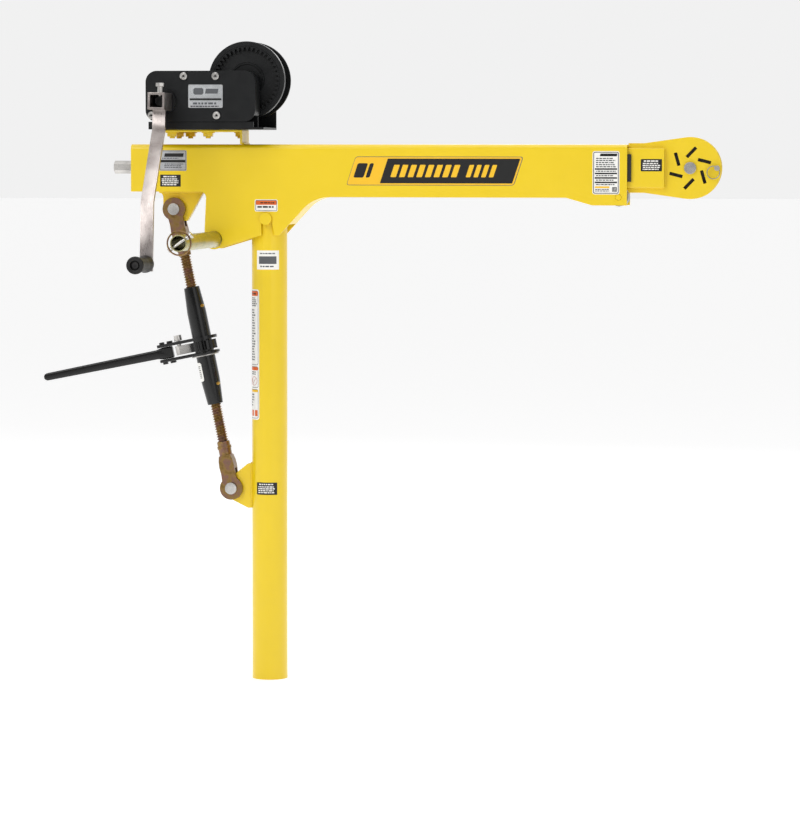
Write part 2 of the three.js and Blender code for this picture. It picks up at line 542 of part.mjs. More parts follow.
function buildWinch() {
  const { left, right, top, plate, front, faceRadius, skirt, sheet, coverWall, baseRight } = winch;
  const { crankX, crankZ, drumX, drumZ, shaft } = winch;
  const seat = shell.top + fitGap;
  const legLeft = left + 2;
  const legRight = right - 38;
  const bracket = outline([[legLeft, seat], [legLeft + plate, seat], [legLeft + plate, bracketTop - plate],
    [legRight - plate, bracketTop - plate], [legRight - plate, seat], [legRight, seat],
    [legRight, bracketTop], [legLeft, bracketTop]]);
  add("winch_bracket", plateXZ(bracket, -wallOuter + 3, wallOuter - 3), yellowPaint);

  const baseLow = bracketTop + fitGap;
  const baseHigh = baseLow + sheet;
  const coverLow = baseLow + skirt;
  const skirtFront = front - 3;
  const rear = drum.halfWidth + 13;
  const pinionAway = (gears.ring - gears.ringPinion) * gears.ringModule / 2;
  const secondX = drumX + pinionAway * Math.cos(gears.ringAngle);
  const secondZ = drumZ + pinionAway * Math.sin(gears.ringAngle);
  const firstX = (crankX + secondX) / 2;
  const firstZ = (crankZ + secondZ) / 2;
  const stage = Math.hypot(secondX - crankX, secondZ - crankZ) / 2;
  const module = (2 * stage) / (gears.small + gears.large);
  const along = Math.atan2(secondZ - crankZ, secondX - crankX);

  const bossFront = -front - crank.bossHeight;
  const hole = (radius, x, z) => rodY(radius, bossFront - 1, front, x, z, 20);
  add("winch_frame", cut(join(
    block(left + 5, baseRight, -skirtFront, rear, baseLow, baseHigh),
    block(left + 5, right - 4, -skirtFront, -skirtFront + sheet, baseHigh - 1, coverLow - fitGap),
    block(left + 5, right - 4, -plateFront, -plateFront + sheet, baseHigh - 1, top - 6),
    block(drumX - 50, baseRight, rear - sheet, rear, baseHigh - 1, drumZ + 22)),
    hole(drum.axle + fitGap, drumX, drumZ), hole(drum.axle + runGap, crankX, crankZ),
    hole(shaft + runGap, firstX, firstZ), hole(shaft + runGap, secondX, secondZ)), blackPaint);

  const boss = rodY(crank.boss, bossFront, -front + 1, crankX, crankZ, 28);
  const face = roundedRectangle(left, right, coverLow, top, faceRadius);
  const outer = plateXZ(face, -front, -plateFront - fitGap, 8);
  const cavity = plateXZ(roundedRectangle(left + coverWall, right - coverWall, coverLow - 40, top - coverWall,
    faceRadius - coverWall), -front + coverWall, front, 8);
  const screwSpots = [[-151, top - 10.5], [-88, top - 10.5], [-86, coverLow + 12], [-215, coverLow + 12]];
  add("gear_cover", cut(join(outer, boss), cavity, hole(drum.axle + runGap + 0.5, crankX, crankZ),
    ...screwSpots.map(([x, z]) => rodY(3 + fitGap, -front - 1, -front + 9, x, z, 10))), blackPaint);
  screwSpots.forEach(([x, z], i) => {
    const screwProfile = [[0, -5.5], [7, -5.5], [7.75, -4.5], [7.75, -fitGap], [3, -fitGap], [3, 8], [0, 8]];
    add(`cover_screw_${i + 1}`, turned(screwProfile, 10).translate(x, -front, z), zinc);
  });

  const stageOne = [-front + 9, -front + 9 + gears.width];
  const stageTwo = [stageOne[1] + 6, stageOne[1] + 6 + gears.width];
  const largePitch = (2 * Math.PI) / gears.large;
  add("crank_shaft", join(rodY(drum.axle, -crank.hubFront + 33, -plateFront + sheet - 1, crankX, crankZ),
    spurGear(gears.small, module, along, ...stageOne, crankX, crankZ)), steel);
  const brake = { radius: 30, start: stageTwo[1] + 2, thick: 6 };
  add("brake_disc", ringY(drum.axle + fitGap, brake.radius, brake.start, brake.start + brake.thick,
    crankX, crankZ, 32), castGear);
  const gearSolid = (x, z, range, tooth) => cut(spurGear(gears.large, module, tooth, ...range, x, z),
    rodY(shaft + fitGap, range[0] - 1, range[1] + 1, x, z));
  add("first_gear", gearSolid(firstX, firstZ, stageOne, along + Math.PI + largePitch / 2), castGear);
  add("first_shaft", join(rodY(shaft, -front + 4, -plateFront + sheet - 1, firstX, firstZ),
    spurGear(gears.small, module, along, ...stageTwo, firstX, firstZ)), steel);
  add("second_gear", gearSolid(secondX, secondZ, stageTwo, along + Math.PI + largePitch / 2), castGear);
  const cupFace = -drum.halfWidth - drum.cup;
  const shaftEnd = -drum.halfWidth - 1;
  add("second_shaft", join(rodY(shaft, -front + 12, shaftEnd, secondX, secondZ),
    spurGear(gears.ringPinion, gears.ringModule, gears.ringAngle, cupFace, shaftEnd, secondX, secondZ)),
    steel);

  const { flange, barrel, halfWidth, flangeWall, axle, hub } = drum;
  const bore = axle + runGap;
  const spool = turned([[bore, cupFace], [hub, cupFace], [hub, -halfWidth], [flange, -halfWidth],
    [flange, -halfWidth + flangeWall], [barrel, -halfWidth + flangeWall], [barrel, halfWidth - flangeWall],
    [flange, halfWidth - flangeWall], [flange, halfWidth], [bore, halfWidth], [bore, cupFace]], 32);
  const ringRadius = gears.ring * gears.ringModule / 2;
  const ringGaps = toothedOutline(gears.ring, ringRadius - 1.8, ringRadius + 4.2, 0.8, 0.5, gears.ringAngle);
  const cup = cut(rodY(flange, cupFace, -halfWidth + 1, 0, 0, 32), plateXZ(ringGaps, cupFace - 1, halfWidth));
  add("drum", join(spool, cup).translate(drumX, 0, drumZ), blackPaint);
  add("drum_axle", rodY(axle, -plateFront - 6, rear + 6, drumX, drumZ), zinc);
}

// ---------- crank: square hub, cranked arm and grip ----------
function buildCrank() {
  const turn = new THREE.Group();
  turn.position.set(winch.crankX, 0, winch.crankZ);
  turn.rotation.y = crank.lean;
  crane.add(turn);
  const half = crank.square / 2;
  const boreHalf = crank.bore / 2;
  add("crank_hub", cut(block(-half, half, -crank.hubFront, -crank.hubBack, -half, half),
    block(-boreHalf, boreHalf, -crank.hubFront - 1, -crank.hubBack + 1, -boreHalf, boreHalf),
    rodZ(5 + fitGap, boreHalf - 1, half + 1, 0, -crank.armTop, 16)), zinc, turn);
  add("crank_set_bolt", join(rodZ(5, drum.axle + fitGap, half + 14, 0, -crank.armTop, 16),
    rodZ(9, half + 12, half + 19, 0, -crank.armTop, 6)), zinc, turn);

  const { armTop, armOut, armThick, bendHigh, bendLow, radius } = crank;
  const tipZ = -radius - 14;
  const armFace = -armOut - armThick;
  const armShape = outline([[-armTop, -half - fitGap], [-armTop, -bendHigh], [-armOut, -bendLow],
    [-armOut, tipZ], [armFace, tipZ], [armFace, -bendLow + 2], [-armTop - armThick, -bendHigh + 2],
    [-armTop - armThick, -half - fitGap]]);
  const armSolid = barX(armShape, -crank.arm / 2, crank.arm / 2);
  const bolt = 5;
  add("crank_arm", cut(armSolid, rodY(bolt + fitGap, armFace - 1, -armOut + 1, 0, -radius, 16)), zinc, turn);
  const gripBack = armFace - 1;
  const gripFront = gripBack - crank.gripLength;
  add("grip_bolt", join(rodY(bolt, gripFront + 8, -armOut + 6, 0, -radius, 16),
    rodY(9, -armOut + fitGap, -armOut + 6, 0, -radius, 6),
    rodY(6.2, gripFront + 4, gripFront + 8, 0, -radius, 16)), zinc, turn);
  const socket = 9.5;
  const { grip } = crank;
  const bore = bolt + runGap;
  const gripProfile = [[bore, gripFront + 9], [socket, gripFront + 9], [socket, gripFront],
    [grip - 3, gripFront], [grip, gripFront + 3], [grip, gripBack - 3], [grip - 2, gripBack],
    [bore, gripBack], [bore, gripFront + 9]];
  add("crank_grip", turned(gripProfile, 20).translate(0, 0, -radius), rubber, turn);
}

buildMast();
buildBoom();
buildHandle();
buildInnerBoom();
buildDriveScrew();
buildJack();
buildWinch();
buildCrank();

export default crane;
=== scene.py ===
import math
import random

import bpy
import bmesh
from mathutils import Matrix, Vector
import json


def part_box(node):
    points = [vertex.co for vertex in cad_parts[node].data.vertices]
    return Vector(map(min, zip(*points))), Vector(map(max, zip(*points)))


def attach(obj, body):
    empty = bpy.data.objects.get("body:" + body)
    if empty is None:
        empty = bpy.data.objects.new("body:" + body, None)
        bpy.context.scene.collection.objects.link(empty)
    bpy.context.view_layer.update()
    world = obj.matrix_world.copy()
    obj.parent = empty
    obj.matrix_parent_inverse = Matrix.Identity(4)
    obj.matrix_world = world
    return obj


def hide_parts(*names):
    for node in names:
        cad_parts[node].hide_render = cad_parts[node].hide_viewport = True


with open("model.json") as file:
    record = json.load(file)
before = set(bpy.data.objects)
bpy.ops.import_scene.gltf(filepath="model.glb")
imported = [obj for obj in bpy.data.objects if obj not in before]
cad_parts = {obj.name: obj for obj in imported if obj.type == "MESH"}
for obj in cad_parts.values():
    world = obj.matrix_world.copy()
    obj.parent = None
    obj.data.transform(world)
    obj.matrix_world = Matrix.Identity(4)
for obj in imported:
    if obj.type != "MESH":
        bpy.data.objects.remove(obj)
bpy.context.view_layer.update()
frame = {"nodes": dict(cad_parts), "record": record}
random.seed(7)
mm = 0.001
mergeMm = 0.01  # points of a turned piece closer than this are one point, so that its poles close


# small helpers
def linear(hexColour):  # sRGB hex to linear rgba
    parts = [int(hexColour[i:i + 2], 16) / 255 for i in (1, 3, 5)]
    return tuple(c / 12.92 if c <= 0.04045 else ((c + 0.055) / 1.055) ** 2.4 for c in parts) + (1.0,)


def addNode(tree, kind, settings=None, values=None, links=None):
    node = tree.nodes.new(kind)
    for key, value in (settings or {}).items():
        setattr(node, key, value)
    for key, value in (values or {}).items():
        node.inputs[key].default_value = value
    for key, socket in (links or {}).items():
        tree.links.new(socket, node.inputs[key])
    return node


def lowHigh(node):  # a CAD node's box in millimetres
    low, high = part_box(node)
    return Vector(low) / mm, Vector(high) / mm


def middle(node):
    low, high = lowHigh(node)
    return (low + high) / 2


# materials
def newMaterial(name, values):
    material = bpy.data.materials.new(name)
    material.use_nodes = True
    tree = material.node_tree
    shader = tree.nodes["Principled BSDF"]
    for key, value in values.items():
        shader.inputs[key].default_value = value
    place = addNode(tree, "ShaderNodeTexCoord").outputs["Object"]
    return material, tree, shader, place


def noise(tree, place, sizeMm, detail=3.0, stretch=None):
    vector = place
    if stretch:
        mapping = addNode(tree, "ShaderNodeMapping", values={"Scale": stretch}, links={"Vector": place})
        vector = mapping.outputs[0]
    return addNode(tree, "ShaderNodeTexNoise", values={"Scale": 1000 / sizeMm, "Detail": detail},
                   links={"Vector": vector}).outputs["Fac"]


def ramp(tree, fac, stops):
    node = addNode(tree, "ShaderNodeValToRGB", links={"Fac": fac})
    band = node.color_ramp
    while len(band.elements) < len(stops):
        band.elements.new(0.5)
    for element, (where, colour) in zip(band.elements, stops):
        element.position = where
        element.color = linear(colour) if isinstance(colour, str) else (colour, colour, colour, 1)
    return node.outputs["Color"]


def bump(tree, shader, height, strength, depthMm):
    node = addNode(tree, "ShaderNodeBump", values={"Strength": strength, "Distance": depthMm * mm},
                   links={"Height": height})
    tree.links.new(node.outputs["Normal"], shader.inputs["Normal"])


def paint(name, dark, light, values, peelMm, peelDepth, patchMm=60):
    material, tree, shader, place = newMaterial(name, values)
    tone = noise(tree, place, patchMm, 4.0)
    tree.links.new(ramp(tree, tone, [(0.3, dark), (0.7, light)]), shader.inputs["Base Color"])
    rough = values["Roughness"]
    tree.links.new(ramp(tree, noise(tree, place, patchMm / 4), [(0.3, rough - 0.04), (0.75, rough + 0.07)]),
                   shader.inputs["Roughness"])
    bump(tree, shader, noise(tree, place, peelMm, 2.0), 0.35, peelDepth)
    return material


def metal(name, stops, rough, grainMm, stretch=None, patchMm=25, depth=0.02):
    material, tree, shader, place = newMaterial(name, {"Metallic": 1.0, "Roughness": rough})
    tree.links.new(ramp(tree, noise(tree, place, patchMm, 5.0), stops), shader.inputs["Base Color"])
    grain = noise(tree, place, grainMm, 4.0, stretch)
    tree.links.new(ramp(tree, grain, [(0.3, rough - 0.07), (0.7, rough + 0.1)]), shader.inputs["Roughness"])
    bump(tree, shader, grain, 0.3, depth)
    return material


def vinyl(name, colour, rough=0.35):
    return paint(name, colour, colour, {"Roughness": rough, "IOR": 1.5}, 3, 0.01, 20)


# sprayed and baked powder coat: one even colour, softly glossy, with a faint orange peel,
# which is drawn coarser than the real one so that it shows
yellowPowderCoat = paint("yellow_powder_coat_sprayed", "#E9C80D", "#ECCB10",
                         {"Roughness": 0.34, "IOR": 1.5, "Coat Weight": 0.25, "Coat Roughness": 0.15},
                         1.6, 0.05)
# enamel: satin on the winch's pressed sheet, glossier and thicker where the jack was dipped
satinBlackEnamel = paint("black_enamel_satin_on_steel", "#07080A", "#0D0F10",
                         {"Roughness": 0.36, "IOR": 1.5, "Specular IOR Level": 0.3}, 1.2, 0.05)
glossBlackEnamel = paint("black_enamel_gloss_dipped", "#040404", "#080808",
                         {"Roughness": 0.22, "IOR": 1.5, "Specular IOR Level": 0.35, "Coat Weight": 0.2,
                          "Coat Roughness": 0.06}, 3, 0.08, 30)
# bright zinc on fasteners: pale and shiny, with slightly uneven gloss
zincPlate = metal("zinc_plated_steel_bright", [(0.3, "#A9A7A4"), (0.7, "#D2CFCB")], 0.3, 0.8)
# cold-drawn bar: streaks of tone and gloss that run along it
brushedSteel = metal("steel_bar_cold_drawn", [(0.25, "#8C8380"), (0.75, "#C2BAB6")], 0.3, 0.7,
                     (1, 1, 0.06), 40, 0.03)
# yellow chromate: gold that drifts to pink and green in patches
chromateStops = [(0.28, "#6E5632"), (0.45, "#8F7446"), (0.6, "#86655A"), (0.78, "#686C42")]
chromateSteel = metal("yellow_chromate_on_zinc", chromateStops, 0.34, 1.0, None, 14)
# the same plating on a smooth tube: paler, with a green and blue cast in broad patches
greenStops = [(0.3, "#8E9463"), (0.55, "#B4AC7C"), (0.75, "#7F8F96")]
greenChromate = metal("green_chromate_on_tube", greenStops, 0.3, 0.9, None, 45)
# bare turned steel and oiled cast iron: grey, one finely marked by the tool and one grainy and dull
turnedSteel = metal("steel_turned", [(0.3, "#7D7E80"), (0.7, "#A8A9AB")], 0.38, 0.5)
castIron = metal("cast_iron_oiled", [(0.3, "#2C2C2D"), (0.7, "#454443")], 0.5, 1.4, None, 12, 0.08)
# copper alloys: brown bronze for the nut, brighter brass for the grease fittings
bearingBronze = metal("bearing_bronze_turned", [(0.3, "#8A642C"), (0.7, "#B98A45")], 0.38, 0.6)
brassFitting = metal("brass_drawn_bright", [(0.3, "#B08A3E"), (0.7, "#DDB867")], 0.25, 0.5)
# moulded polymers: matt black, with the fine grain of the mould
# the nose pads' black is partly the nylon's own colour and partly painted shade: it stands in for the shade
# in the gap between the boom's nose and the inner tube
nylonBlackAndGapShade = paint("nylon_black_and_painted_gap_shade", "#101010", "#1A1A1A", {"Roughness": 0.55, "IOR": 1.53}, 0.9, 0.06)
gripRubber = paint("rubber_moulded_black", "#0A0A0A", "#131211",
                   {"Roughness": 0.5, "IOR": 1.52, "Specular IOR Level": 0.35}, 0.8, 0.08)
# printed vinyl and foil labels: flat colours under a smooth film
whiteVinyl = vinyl("vinyl_printed_white", "#F0EFEA")
blackVinyl = vinyl("vinyl_printed_black", "#0C0C0C")
orangeVinyl = vinyl("vinyl_printed_orange", "#D9611B")
silverFoil = metal("aluminium_foil_label", [(0.3, "#B9BBBD"), (0.7, "#D8DADC")], 0.3, 0.6, None, 30)
labelYellow = vinyl("vinyl_printed_warm_yellow", "#F2BE22")
greyPrint = vinyl("ink_printed_grey", "#55575A")
redPrint = vinyl("ink_printed_red", "#B23A32")
print("materials made")


# making pieces
def finishPiece(bm, name, body, materials, replaces=(), smoothAngle=35, scale=mm):
    bmesh.ops.scale(bm, vec=(scale, scale, scale), verts=bm.verts)
    mesh = bpy.data.meshes.new(name)
    for face in bm.faces:
        face.smooth = True
    bm.to_mesh(mesh)
    bm.free()
    mesh.set_sharp_from_angle(angle=math.radians(smoothAngle))
    for material in materials:
        mesh.materials.append(material)
    piece = bpy.data.objects.new(name, mesh)
    bpy.context.scene.collection.objects.link(piece)
    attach(piece, body)
    if replaces:
        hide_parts(*replaces)
    return piece


bodyOf = {node: body for body, nodes in frame["record"]["behaviour"]["bodies"].items() for node in nodes}


# the CAD shape with its sharp edges broken
def softCopy(node, material, bevelMm=1.0, segments=2, sharpAngle=35):
    bm = bmesh.new()
    bm.from_mesh(frame["nodes"][node].data)
    bmesh.ops.remove_doubles(bm, verts=bm.verts, dist=1e-6)
    bmesh.ops.dissolve_limit(bm, angle_limit=math.radians(0.5), verts=bm.verts, edges=bm.edges)
    if bevelMm:
        limit = math.radians(sharpAngle)
        sharp = [e for e in bm.edges if len(e.link_faces) == 2 and e.calc_face_angle(0) > limit]
        bmesh.ops.bevel(bm, geom=sharp, offset=bevelMm * mm, offset_type="OFFSET", affect="EDGES",
                        segments=segments, profile=0.5, material=-1, clamp_overlap=True)
    piece = finishPiece(bm, node + "_finished", bodyOf[node], [material], [node], sharpAngle, 1.0)
    weighted = piece.modifiers.new("weighted", "WEIGHTED_NORMAL")
    weighted.keep_sharp = True
    return piece


# a profile of (radius, height) pairs turned about an axis
def spun(bm, profile, centre, axis, steps=48, material=0):
    axis = Vector(axis).normalized()
    side = axis.orthogonal().normalized()
    verts = [bm.verts.new(Vector(centre) + side * r + axis * h) for r, h in profile]
    edges = [bm.edges.new(pair) for pair in zip(verts, verts[1:])]
    before = set(bm.faces)
    bmesh.ops.spin(bm, geom=verts + edges, cent=centre, axis=axis, angle=math.tau, steps=steps,
                   use_merge=True)
    made = [f for f in bm.faces if f not in before]
    bmesh.ops.remove_doubles(bm, verts=list({v for f in made for v in f.verts}), dist=mergeMm)
    made = [f for f in bm.faces if f not in before]
    for face in made:
        face.material_index = material
    bmesh.ops.recalc_face_normals(bm, faces=made)
    return made


def addPrism(bm, radius, low, high, sides, axis, material=0, bevel=0):
    axis = Vector(axis).normalized()
    turn = axis.to_track_quat("Z", "Y").to_matrix().to_4x4()
    low, high = Vector(low), Vector(high)
    place = Matrix.Translation((low + high) / 2) @ turn
    made = bmesh.ops.create_cone(bm, cap_ends=True, segments=sides, radius1=radius, radius2=radius,
                                 depth=(high - low).length, matrix=place)["verts"]
    faces = {f for v in made for f in v.link_faces}
    for face in faces:
        face.material_index = material
    if bevel:
        edges = {e for v in made for e in v.link_edges}
        rim = [e for e in edges if any(len(f.verts) > 4 for f in e.link_faces)]
        bmesh.ops.bevel(bm, geom=rim, offset=bevel, offset_type="OFFSET", affect="EDGES", segments=2,
                        profile=0.5, material=-1)


# a round section carried along points
def sweep(bm, path, radius, sides=10, material=0, closed=False):
    path = [Vector(p) for p in path]
    radii = radius if isinstance(radius, list) else [radius] * len(path)
    rings, side = [], None
    for i, point in enumerate(path):
        ahead = path[(i + 1) % len(path)] if closed or i + 1 < len(path) else point
        behind = path[i - 1] if closed or i else point
        along = (ahead - behind).normalized()
        side = along.orthogonal() if side is None else side - along * side.dot(along)
        side.normalize()
        other = along.cross(side)
        ring = []
        for k in range(sides):
            a = math.tau * k / sides
            ring.append(bm.verts.new(point + (side * math.cos(a) + other * math.sin(a)) * radii[i]))
        rings.append(ring)
    made = []
    for one, two in list(zip(rings, rings[1:])) + ([(rings[-1], rings[0])] if closed else []):
        for k in range(sides):
            made.append(bm.faces.new((one[k], one[(k + 1) % sides], two[(k + 1) % sides], two[k])))
    if not closed:
        made += [bm.faces.new(rings[0][::-1]), bm.faces.new(rings[-1])]
    for face in made:
        face.material_index = material
    bmesh.ops.recalc_face_normals(bm, faces=made)


def circlePoints(centre, radius, across, up, start=0.0, end=360.0, count=48):
    centre, across, up = Vector(centre), Vector(across), Vector(up)
    full = abs(end - start) >= 360
    steps = count if full else count - 1
    angles = [math.radians(start + (end - start) * k / steps) for k in range(count)]
    return [centre + (across * math.cos(a) + up * math.sin(a)) * radius for a in angles]


# a bead of small overlapping ripples from one point to another
def weld(bm, start, end, size, material=0):
    start, end = Vector(start), Vector(end)
    steps = max(6, int((end - start).length / 0.9))
    path = [start.lerp(end, k / steps) for k in range(steps + 1)]
    radii = [size * (0.9 + 0.12 * math.sin(k * 1.5) + random.uniform(-0.04, 0.04)) for k in range(steps + 1)]
    radii[0] = radii[-1] = size * 0.45
    radii[1] = radii[-2] = size * 0.75
    sweep(bm, path, radii, 8, material)


# a thin sheet that faces -Y
def addPanel(bm, low, high, front, thick, material=0, radius=0.0, lean=0.0):
    (x0, z0), (x1, z1) = low, high
    corners = [(x1, z0, -90), (x1, z1, 0), (x0, z1, 90), (x0, z0, 180)]
    loop = []
    for x, z, start in corners:
        if not radius:
            loop.append((x, z))
            continue
        cx = x - radius if x == x1 else x + radius
        cz = z - radius if z == z1 else z + radius
        for k in range(5):
            a = math.radians(start + 22.5 * k)
            loop.append((cx + radius * math.cos(a), cz + radius * math.sin(a)))
    near = [bm.verts.new((x + lean * (z - z0), front, z)) for x, z in loop]
    far = [bm.verts.new((x + lean * (z - z0), front + thick, z)) for x, z in loop]
    made = [bm.faces.new(near), bm.faces.new(far[::-1])]
    for k in range(len(loop)):
        n = (k + 1) % len(loop)
        made.append(bm.faces.new((near[n], near[k], far[k], far[n])))
    for face in made:
        face.material_index = material
    bmesh.ops.recalc_face_normals(bm, faces=made)


# rows of plain dashes, no lettering
def addMarks(bm, low, high, rows, front, material, lean=0.0, fill=1.0):
    (x0, z0), (x1, z1) = low, high
    pitch = (z1 - z0) / rows
    for row in range(rows):
        base = z0 + row * pitch
        x = x0 + random.uniform(0, pitch * 0.3)
        stop = x0 + (x1 - x0) * random.uniform(0.86, 1.0) * fill
        while x < stop:
            wide = min(random.uniform(0.9, 3.2) * pitch * 0.55, stop - x)
            if wide < pitch * 0.3:
                break
            shift = lean * (base - z0)
            markLow = (x + shift, base + pitch * 0.22)
            markHigh = (x + wide + shift, base + pitch * 0.78)
            addPanel(bm, markLow, markHigh, front, 0.06, material, 0.0, lean)
            x += wide + pitch * 0.3


# bends flat sheets (arc length along X, depth along Y) round the Z axis
def wrapRound(bm, radius, height):
    xs = [v.co.x for v in bm.verts]
    step = 1.6
    x = math.floor(min(xs) / step) * step + step
    while x < max(xs):
        geometry = list(bm.verts) + list(bm.edges) + list(bm.faces)
        bmesh.ops.bisect_plane(bm, geom=geometry, plane_co=(x, 0, 0), plane_no=(1, 0, 0))
        x += step
    for vert in bm.verts:
        angle = vert.co.x / radius
        away = radius - vert.co.y
        vert.co = Vector((away * math.sin(angle), -away * math.cos(angle), vert.co.z + height))


# lowest and highest place of a CAD node along an axis, in millimetres
def spanAlong(node, origin, axis):
    values = [(v.co / mm - origin).dot(axis) for v in frame["nodes"][node].data.vertices]
    return min(values), max(values)


# camera, light, floor
cameraPlace = {"x": 1249.8, "y": -6934.5, "z": 1023.5, "yaw": -0.14172, "pitch": -0.06862, "roll": -0.00138,
               "lens": 157.68}
cam = bpy.data.cameras.new("camera")
cam.lens = cameraPlace["lens"]
cam.sensor_width = 36
cam.clip_end = 100
cameraObject = bpy.data.objects.new("camera", cam)
bpy.context.scene.collection.objects.link(cameraObject)
yaw = Matrix.Rotation(-cameraPlace["yaw"], 4, "Z")
pitch = Matrix.Rotation(math.pi / 2 + cameraPlace["pitch"], 4, "X")
roll = Matrix.Rotation(-cameraPlace["roll"], 4, "Z")
spot = Vector((cameraPlace["x"], cameraPlace["y"], cameraPlace["z"])) * mm
cameraObject.matrix_world = Matrix.Translation(spot) @ yaw @ pitch @ roll
bpy.context.scene.camera = cameraObject

lights = {
    "key_light": {"place": (-2.2, -4.2, 3.6), "size": 2.6, "power": 95},
    "fill_light": {"place": (3.4, -4.6, 2.2), "size": 3.2, "power": 32},
    "top_light": {"place": (0.2, -0.4, 4.2), "size": 3.0, "power": 42},
    "back_light": {"place": (1.0, 4.0, 3.2), "size": 3.0, "power": 45},
}
for name, spec in lights.items():
    lamp = bpy.data.lights.new(name, "AREA")
    lamp.size = spec["size"]
    lamp.energy = spec["power"]
    holder = bpy.data.objects.new(name, lamp)
    bpy.context.scene.collection.objects.link(holder)
    holder.location = spec["place"]
    holder.rotation_euler = (Vector((0.1, 0, 0.8)) - holder.location).to_track_quat("-Z", "Y").to_euler()

# a pale studio that darkens slowly towards the front
world = bpy.data.worlds.new("studio")
bpy.context.scene.world = world
world.use_nodes = True
sky = world.node_tree
direction = addNode(sky, "ShaderNodeTexCoord").outputs["Generated"]
depth = addNode(sky, "ShaderNodeSeparateXYZ", links={"Vector": direction}).outputs["Y"]
depth = addNode(sky, "ShaderNodeMapRange", values={"From Min": -1, "From Max": 1},
                links={"Value": depth}).outputs[0]
sky.links.new(ramp(sky, depth, [(0.1, 0.2), (0.62, 0.88)]), sky.nodes["Background"].inputs["Color"])
bpy.context.scene.view_settings.view_transform = "Standard"

paleFloor = {"Base Color": (0.9, 0.9, 0.9, 1), "Roughness": 0.9, "Emission Color": (1, 1, 1, 1),
             "Emission Strength": 0.33}
floorMesh = bpy.data.meshes.new("floor")
bm = bmesh.new()
bmesh.ops.create_grid(bm, x_segments=1, y_segments=1, size=300)
bm.to_mesh(floorMesh)
bm.free()
floorMesh.materials.append(newMaterial("pale_floor", paleFloor)[0])
floor = bpy.data.objects.new("floor", floorMesh)
bpy.context.scene.collection.objects.link(floor)
print("camera and light set")

# CAD shapes that only need broken edges and a finish
finishes = {
    "mast_tube": (yellowPowderCoat, 0.8), "mast_lug": (yellowPowderCoat, 1.2),
    "pivot_pin": (yellowPowderCoat, 1.0),
    "boom_shell": (yellowPowderCoat, 0.7), "bottom_plate_1": (yellowPowderCoat, 0.6),
    "bottom_plate_2": (yellowPowderCoat, 0.6), "knee_plate": (yellowPowderCoat, 0.6),
    "tail_bottom_plate": (yellowPowderCoat, 0.6), "tail_end_plate": (yellowPowderCoat, 0.6),
    "boom_lug": (yellowPowderCoat, 1.2), "winch_bracket": (yellowPowderCoat, 1.2),
    "inner_tube": (yellowPowderCoat, 2.0), "cheek_near": (yellowPowderCoat, 0.8),
    "cheek_far": (yellowPowderCoat, 0.8),
    "winch_frame": (satinBlackEnamel, 0.7), "gear_cover": (satinBlackEnamel, 2.4),
    "jack_barrel": (glossBlackEnamel, 1.0), "ratchet_gear": (glossBlackEnamel, 0.5),
    "yoke_plate_lower": (glossBlackEnamel, 1.4), "yoke_plate_upper": (glossBlackEnamel, 1.4),
    "ratchet_bar": (glossBlackEnamel, 3.0), "ratchet_pawl": (zincPlate, 0.6),
    "thrust_washer": (zincPlate, 0.4), "roller_axle": (yellowPowderCoat, 0.8), "hitch_pin": (zincPlate, 0.5),
    "handle_tube": (greenChromate, 0.4),
    "lower_clevis": (chromateSteel, 2.2), "upper_clevis": (chromateSteel, 2.2),
    "sheave_pin": (zincPlate, 1.2), "lower_clevis_pin": (zincPlate, 1.2),
    "upper_clevis_pin": (zincPlate, 1.2),
    "retainer_pin": (zincPlate, 1.0), "drive_screw": (zincPlate, 0.8),
    "crank_hub": (brushedSteel, 3.0), "crank_arm": (brushedSteel, 1.0), "crank_set_bolt": (zincPlate, 0.8),
    "drum_axle": (zincPlate, 1.0), "nose_roller": (turnedSteel, 1.0), "sheave": (castIron, 0.8),
    # the nose pads' black nylon also paints the shade in the gap between the boom's nose and the inner tube
    "nose_pad_near": (nylonBlackAndGapShade, 0.8), "nose_pad_far": (nylonBlackAndGapShade, 0.8),
}
for node, (material, bevelMm) in finishes.items():
    softCopy(node, material, bevelMm)

plainFinishes = {
    "mast_foot_plug": turnedSteel, "thrust_bearing": turnedSteel, "crank_shaft": castIron,
    "first_shaft": turnedSteel, "second_shaft": turnedSteel, "brake_disc": castIron, "first_gear": castIron,
    "second_gear": castIron, "drive_nut": bearingBronze, "grip_bolt": castIron,
}
for node, material in plainFinishes.items():
    cad = frame["nodes"][node].data
    cad.materials.clear()
    cad.materials.append(material)
print("frame pieces finished")

# jack: its own upright frame from the lower pin to the upper pin
lowerPin = middle("lower_clevis_pin")
upperPin = middle("upper_clevis_pin")
jackUp = (upperPin - lowerPin).normalized()
jackSide = Vector((jackUp.z, 0, -jackUp.x))
jackTurn = Matrix((jackSide, Vector((0, 1, 0)), jackUp)).transposed().to_4x4()
jackPlace = Matrix.Translation(lowerPin) @ jackTurn

